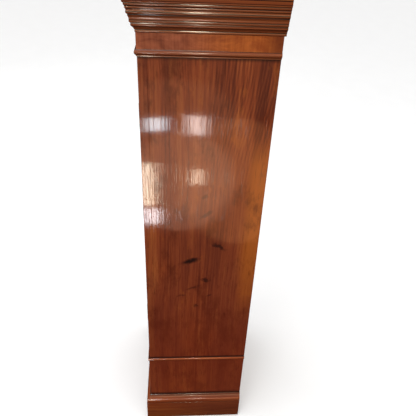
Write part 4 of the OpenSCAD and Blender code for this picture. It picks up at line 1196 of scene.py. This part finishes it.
SCREW_HEAD = [(0, 0.3), (3.2, 0.3), (3.2, 1.2), (2.6, 1.9), (0, 2.1)]
WEIGHT = [(0, 0), (26.5, 0), (29, 1.5), (30, 3), (30, 6), (31, 7), (31, 12), (30, 13), (30, 60), (29.6, 61),
          (30, 62), (30, 148), (29.6, 149), (30, 150), (30, 197), (31, 198), (31, 203), (30, 204), (30, 207),
          (28.5, 209), (26, 210.4), *swell(25, 211, 8, 215, 1.2, 8), (6, 216), (3, 217), (3, 222), (0, 222)]
GROOVE = [(21.5 - 2.4 * c, -2.1 * s) for c, s in arc(0.0, 0.0, 1.0, 60, -60, 12)]
PULLEY = [(2.08, -4), (6, -4), (6, -2), (14, -2), (15, -3.5), (22.2, -3.5), (22.5, -3.2), *GROOVE,
          (22.5, 3.2), (22.2, 3.5), (15, 3.5), (14, 2), (6, 2), (6, 4), (2.08, 4)]
AXLE = [(0, -7.5), (1.7, -7.5), (2, -7.1), (2, 7.1), (1.7, 7.5), (0, 7.5)]
NUT = [(4.08, 0), (14.4, 0), (15, 0.6), (15, 2.4), (14.4, 3), (7.6, 3), (7, 3.6), (7, 13.6), (6.2, 14.7),
       (4.08, 14.7)]
SCREW_X, SCREW_LIFT = 30.5 * MM, 5.5 * MM
COCK_FACE = low("back_cock").y + 12 * MM
DRUM = 18.05
FIRST_COIL = FRONT_PLATE + 30.1 * MM
COIL_PITCH = 1.7 * MM
COIL_STEPS, COILS = 24, 7


def make_movement():
    """Cock screws, and the gut wound on the barrel."""
    screws = Shape()
    for side in (-1, 1):
        for lift in (-SCREW_LIFT, SCREW_LIFT):
            screws.lathe(SCREW_HEAD, (side * SCREW_X, COCK_FACE, PIVOT_Z + lift), "Y", 24)
    screws.make("cock_screws", "case", [BLUED], "blued_steel")
    path = []
    for i in range(COIL_STEPS * COILS + 1):
        angle = math.pi - 2 * math.pi * i / COIL_STEPS
        path.append((DRUM * MM * math.cos(angle), FIRST_COIL - COIL_PITCH * i / COIL_STEPS,
                     BARREL_Z + DRUM * MM * math.sin(angle)))
    turns = Shape()
    turns.tube(path, 0.8 * MM)
    turns.make("line_turns", "barrel", [GUT], "gut_line", sharp=60)


def make_weight(x, y, z):
    """The cased weight, and the stirrup and axle that hold its pulley."""
    weight = Shape()
    weight.lathe(WEIGHT, (x, y, low("weight").z), steps=96)
    half, inner, outer, foot, sill = 5 * MM, 5 * MM, 7 * MM, z - 31 * MM, z - 27 * MM
    for side in (-1, 1):
        y0, y1 = sorted((y + side * inner, y + side * outer))
        weight.block((x - half, y0, sill - 1 * MM), (x + half, y1, z + 6 * MM))
    weight.block((x - half, y - outer, foot), (x + half, y + outer, sill))
    weight.lathe(AXLE, (x, y, z), "Y", 24)
    weight.make("cased_weight", "weight", [BRASS], "brass", ("weight",), bevel=0.4)
    pulley = Shape()
    pulley.lathe(PULLEY, (x, y, z), "Y", 72, hollow=True)
    pulley.make("turned_pulley", "pulley", [BRASS], "brass", ("pulley",), sharp=30)


def make_line(x, y, z):
    """The gut, down from the barrel, round the pulley and up to its knot."""
    r, knot = 20 * MM, SEAT_TOP + 3 * MM
    down = [(x - r, y, BARREL_Z + (z - BARREL_Z) * i / 160) for i in range(160)]
    under = [(x - r * math.cos(a), y, z - r * math.sin(a)) for a in (math.pi * i / 24 for i in range(25))]
    up = [(x + r, y, z + (knot - z) * i / 140) for i in range(1, 141)]
    loops = [(x + r + 2 * MM * math.cos(a), y + 1.4 * MM * math.sin(a), knot + 0.9 * MM * math.sin(2 * a))
             for a in (math.pi * i / 8 for i in range(17))]
    line = Shape()
    line.tube(down + under + up, 0.88 * MM, 12, lobes=3, twist=0.9)
    line.tube(loops, 0.85 * MM)
    gut = line.make("twisted_gut_line", None, [GUT], "gut_line", ("weight_line",), sharp=60)
    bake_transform(gut)


def knurl(angle, height, radius):
    return 1 - 0.03 * (1 + math.cos(36 * angle)) / 2 if radius > 14 else 1.0


def make_pendulum():
    """The rating nut, and the spring that bends between the cock and the rod."""
    at = centre("rating_nut")
    nut = Shape()
    nut.lathe(NUT, (at.x, at.y, low("rating_nut").z), steps=216, flute=knurl, hollow=True)
    nut.make("knurled_nut", "rating_nut", [BRASS], "brass", ("rating_nut",), sharp=50)
    lo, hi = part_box("suspension_spring")
    levels = [lo.z + (hi.z - lo.z) * i / 16 for i in range(17)]
    strip = Shape()
    strip.loft([[(lo.x, lo.y, z), (hi.x, lo.y, z), (hi.x, hi.y, z), (lo.x, hi.y, z)] for z in levels])
    spring = strip.make("spring_strip", None, [STEEL], "steel", ("suspension_spring",))
    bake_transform(spring)


# ---- Finishes of the CAD's own pieces ----

FINISHES = (
    # material, width of the rounded edges in millimetres, nodes
    (SIDE_WOOD, 0.8, "right_side_board"),
    (SIDE_WOOD, 0.3, "trunk_front_frame"),
    (UP_WOOD, 0.8, "left_side_board", "hood_sides", "finial_blocks"),
    (UP_WOOD, 0.5, "hood_mask"),
    (FLAME_WOOD, 0.4, "base_panel"),
    (FLAME_WOOD, 0.8, "hood_tympanum"),
    (DOOR_WOOD, 1.0, "trunk_door_frame"),
    (HOOD_DOOR_WOOD, 0.8, "hood_door_frame"),
    (RUN_WOODS[0], 0.5, "hood_base"),
    (BAND_WOOD, 0.4, "hood_frieze"),
    (DEAL, 0.5, "back_board"),
    (DEAL_X, 0.5, "bottom_board"),
    (DEAL_X, 0, "seat_board"),
    (DEAL_X, 0.8, "hood_top_board"),
    (GLASS, 0, "trunk_door_glass", "hood_side_glass", "hood_door_glass"),
    (BRASS, 0, "great_wheel", "centre_wheel", "third_wheel", "escape_wheel", "minute_wheel", "hour_wheel"),
    (BRASS, 0.2, "trunk_hinge_plates", "trunk_hinge_leaves", "movement_pillars", "barrel"),
    (BRASS, 0.3, "hood_door_pivots", "hood_door_catch", "movement_plates", "back_cock"),
    (CAST_BRASS, 0.4, "trunk_lock"),
    (STEEL, 0.2, "anchor", "pendulum_rod"),
    (STEEL, 0.4, "lock_bolt"),
    (STEEL, 0.6, "trunk_key"),
    (BLUED, 0.15, "seconds_hand"),
    (DIAL_BRASS, 0.3, "dial_plate"),
    (SILVERED, 0.3, "chapter_ring"),
    (BOB_BRASS, 0.5, "pendulum_bob"),
)


def dress(node, material, bevel):
    """Gives a CAD node its material, and rounds its sharp edges."""
    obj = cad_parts[node]
    obj.data.materials.clear()
    obj.data.materials.append(material)
    if bevel:
        weld = obj.modifiers.new("weld", "WELD")
        weld.merge_threshold = WELD
        add_bevel(obj, bevel)


make_case()
make_trunk_front()
make_hood()
make_hood_door()
make_engraving()
make_ornaments()
make_hands()
make_movement()
make_weight(*centre("pulley"))
make_line(*centre("pulley"))
make_pendulum()
for finish, rounding, *nodes in FINISHES:
    for finished in nodes:
        dress(finished, finish, rounding)

# ---- Stage ----


def make_floor():
    """A plain pale floor, which throws no light back on the clock."""
    reach = 30.0
    mesh = bpy.data.meshes.new("floor")
    mesh.from_pydata([(-reach, -reach, 0), (reach, -reach, 0), (reach, reach, 0), (-reach, reach, 0)],
                     [], [[0, 1, 2, 3]])
    mesh.materials.append(matt("floor_paint", (0.93, 0.93, 0.93), (0.95, 0.95, 0.95), 0.8, 6.0))
    floor = bpy.data.objects.new("floor", mesh)
    bpy.context.scene.collection.objects.link(floor)
    floor.visible_glossy = False
    floor.visible_diffuse = False


def make_world():
    """White to the camera, a white sky for soft light, and a dim warm room in the reflections."""
    world = bpy.data.worlds.new("studio")
    bpy.context.scene.world = world
    g = Graph(world, "OutputWorld", "Generated")
    lift = g.node("MapRange", {"Value": g.parts(g.at)[2], "From Min": -1.0})

    def sky(*stops):
        return g.node("Background", {"Color": g.ramp(lift, *stops)})

    studio = sky((0.48, (0.05, 0.04, 0.035)), (0.51, (1.0, 1.0, 1.0)))
    room = sky((0.46, (0.012, 0.009, 0.008)), (0.56, (0.05, 0.035, 0.025)), (1.0, (0.42, 0.34, 0.26)))
    glossy, seen = (g.node("LightPath", output=kind) for kind in ("Is Glossy Ray", "Is Camera Ray"))
    white = g.node("Background", {"Color": (1.0, 1.0, 1.0)})
    light = g.node("MixShader", enumerate((glossy, studio, room)))
    g.end(g.node("MixShader", enumerate((seen, light, white))))


def softbox(name, place, target, size, radiance, colour=(1, 1, 1), gloss_only=False, oval_face=False):
    """A lamp facing a point, given by the brightness of its face."""
    data = bpy.data.lights.new(name, "AREA")
    data.shape = "ELLIPSE" if oval_face else "RECTANGLE"
    data.size, data.size_y = size
    data.energy = radiance * math.pi * size[0] * size[1] * (math.pi / 4 if oval_face else 1.0)
    data.color = colour
    lamp = bpy.data.objects.new(name, data)
    lamp.location = place
    lamp.rotation_euler = (Vector(target) - Vector(place)).to_track_quat("-Z", "Y").to_euler()
    lamp.visible_camera = False
    if gloss_only:
        lamp.visible_diffuse = False
        lamp.visible_transmission = False
    bpy.context.scene.collection.objects.link(lamp)


WINDOW_X = 2.2
MIRRORED_EYE = Vector((2 * HALF - EYE.x, EYE.y, EYE.z))
GLINTS = (
    # windows: where the side mirrors each (Y, Z), its width and height there, brightness, colour
    ((-0.082, 1.079), 0.042, 0.030, 19.0, (0.78, 0.92, 1.0)),
    ((0.010, 1.078), 0.036, 0.042, 17.0, (1.0, 0.84, 0.78)),
    ((-0.103, 0.925), 0.024, 0.098, 26.0, (1.0, 0.88, 0.68)),
    ((0.014, 0.948), 0.020, 0.040, 19.0, (1.0, 0.82, 0.62)),
    ((-0.098, 0.835), 0.036, 0.036, 22.0, (0.95, 0.95, 1.0)),
)
HAZES = (
    # the same, for the dim room round the windows, drawn as soft ovals
    ((-0.025, 0.935), 0.190, 0.170, 14.0, (1.0, 0.60, 0.40)),
    ((-0.040, 1.020), 0.260, 0.230, 5.0, (1.0, 0.54, 0.30)),
    ((0.110, 0.935), 0.200, 0.220, 13.0, (1.0, 0.40, 0.16)),
    ((0.010, 1.180), 0.260, 0.160, 2.2, (1.0, 0.62, 0.40)),
)
HAZE_RINGS = 8
CANDLE = (1.0, 0.88, 0.64)


def mirrored_lamp(name, at, width, height, radiance, colour, oval_face=False):
    """A far lamp that the side mirrors at a spot, in the size it shows there."""
    spot = Vector((HALF, *at))
    ray = spot - MIRRORED_EYE
    reach = (WINDOW_X - MIRRORED_EYE.x) / ray.x
    size = (width * reach, height * reach)
    softbox(name, MIRRORED_EYE + ray * reach, spot, size, radiance, colour, True, oval_face)


def make_lights():
    """Broad soft light from above and both fronts, and lamps that only show in the polish."""
    softbox("top", (0.4, -0.6, 3.6), (0.0, 0.0, 0.8), (2.6, 2.6), 2.0)
    softbox("right_key", (2.9, -1.6, 2.5), (0.1, 0.0, 1.0), (1.4, 1.6), 3.0, (1.0, 0.97, 0.93))
    softbox("left_fill", (-2.6, -2.4, 2.0), (0.0, 0.0, 1.0), (1.4, 1.6), 1.6, (0.94, 0.97, 1.0))
    softbox("wall", (2.6, 0.0, 1.80), (HALF, 0.0, 1.2), (2.4, 0.9), 2.6, (1.0, 0.62, 0.32), True)
    for name, y, radiance in (("left", -0.46, 42.0), ("middle", 0.10, 34.0)):
        softbox(f"bead_{name}", (2.3, y, 1.62), (HALF, 0.0, 1.25), (0.16, 0.42), radiance, CANDLE, True)
    for number, glint in enumerate(GLINTS):
        mirrored_lamp(f"glint_{number}", *glint)
    for number, (at, width, height, radiance, colour) in enumerate(HAZES):
        for ring in range(HAZE_RINGS):
            part = 0.25 + 0.16 * ring
            mirrored_lamp(f"haze_{number}_{ring}", at, width * part, height * part, radiance / HAZE_RINGS,
                          colour, True)


make_floor()
make_world()
make_lights()
view = bpy.context.scene.view_settings
view.view_transform = "Standard"
view.look = "None"
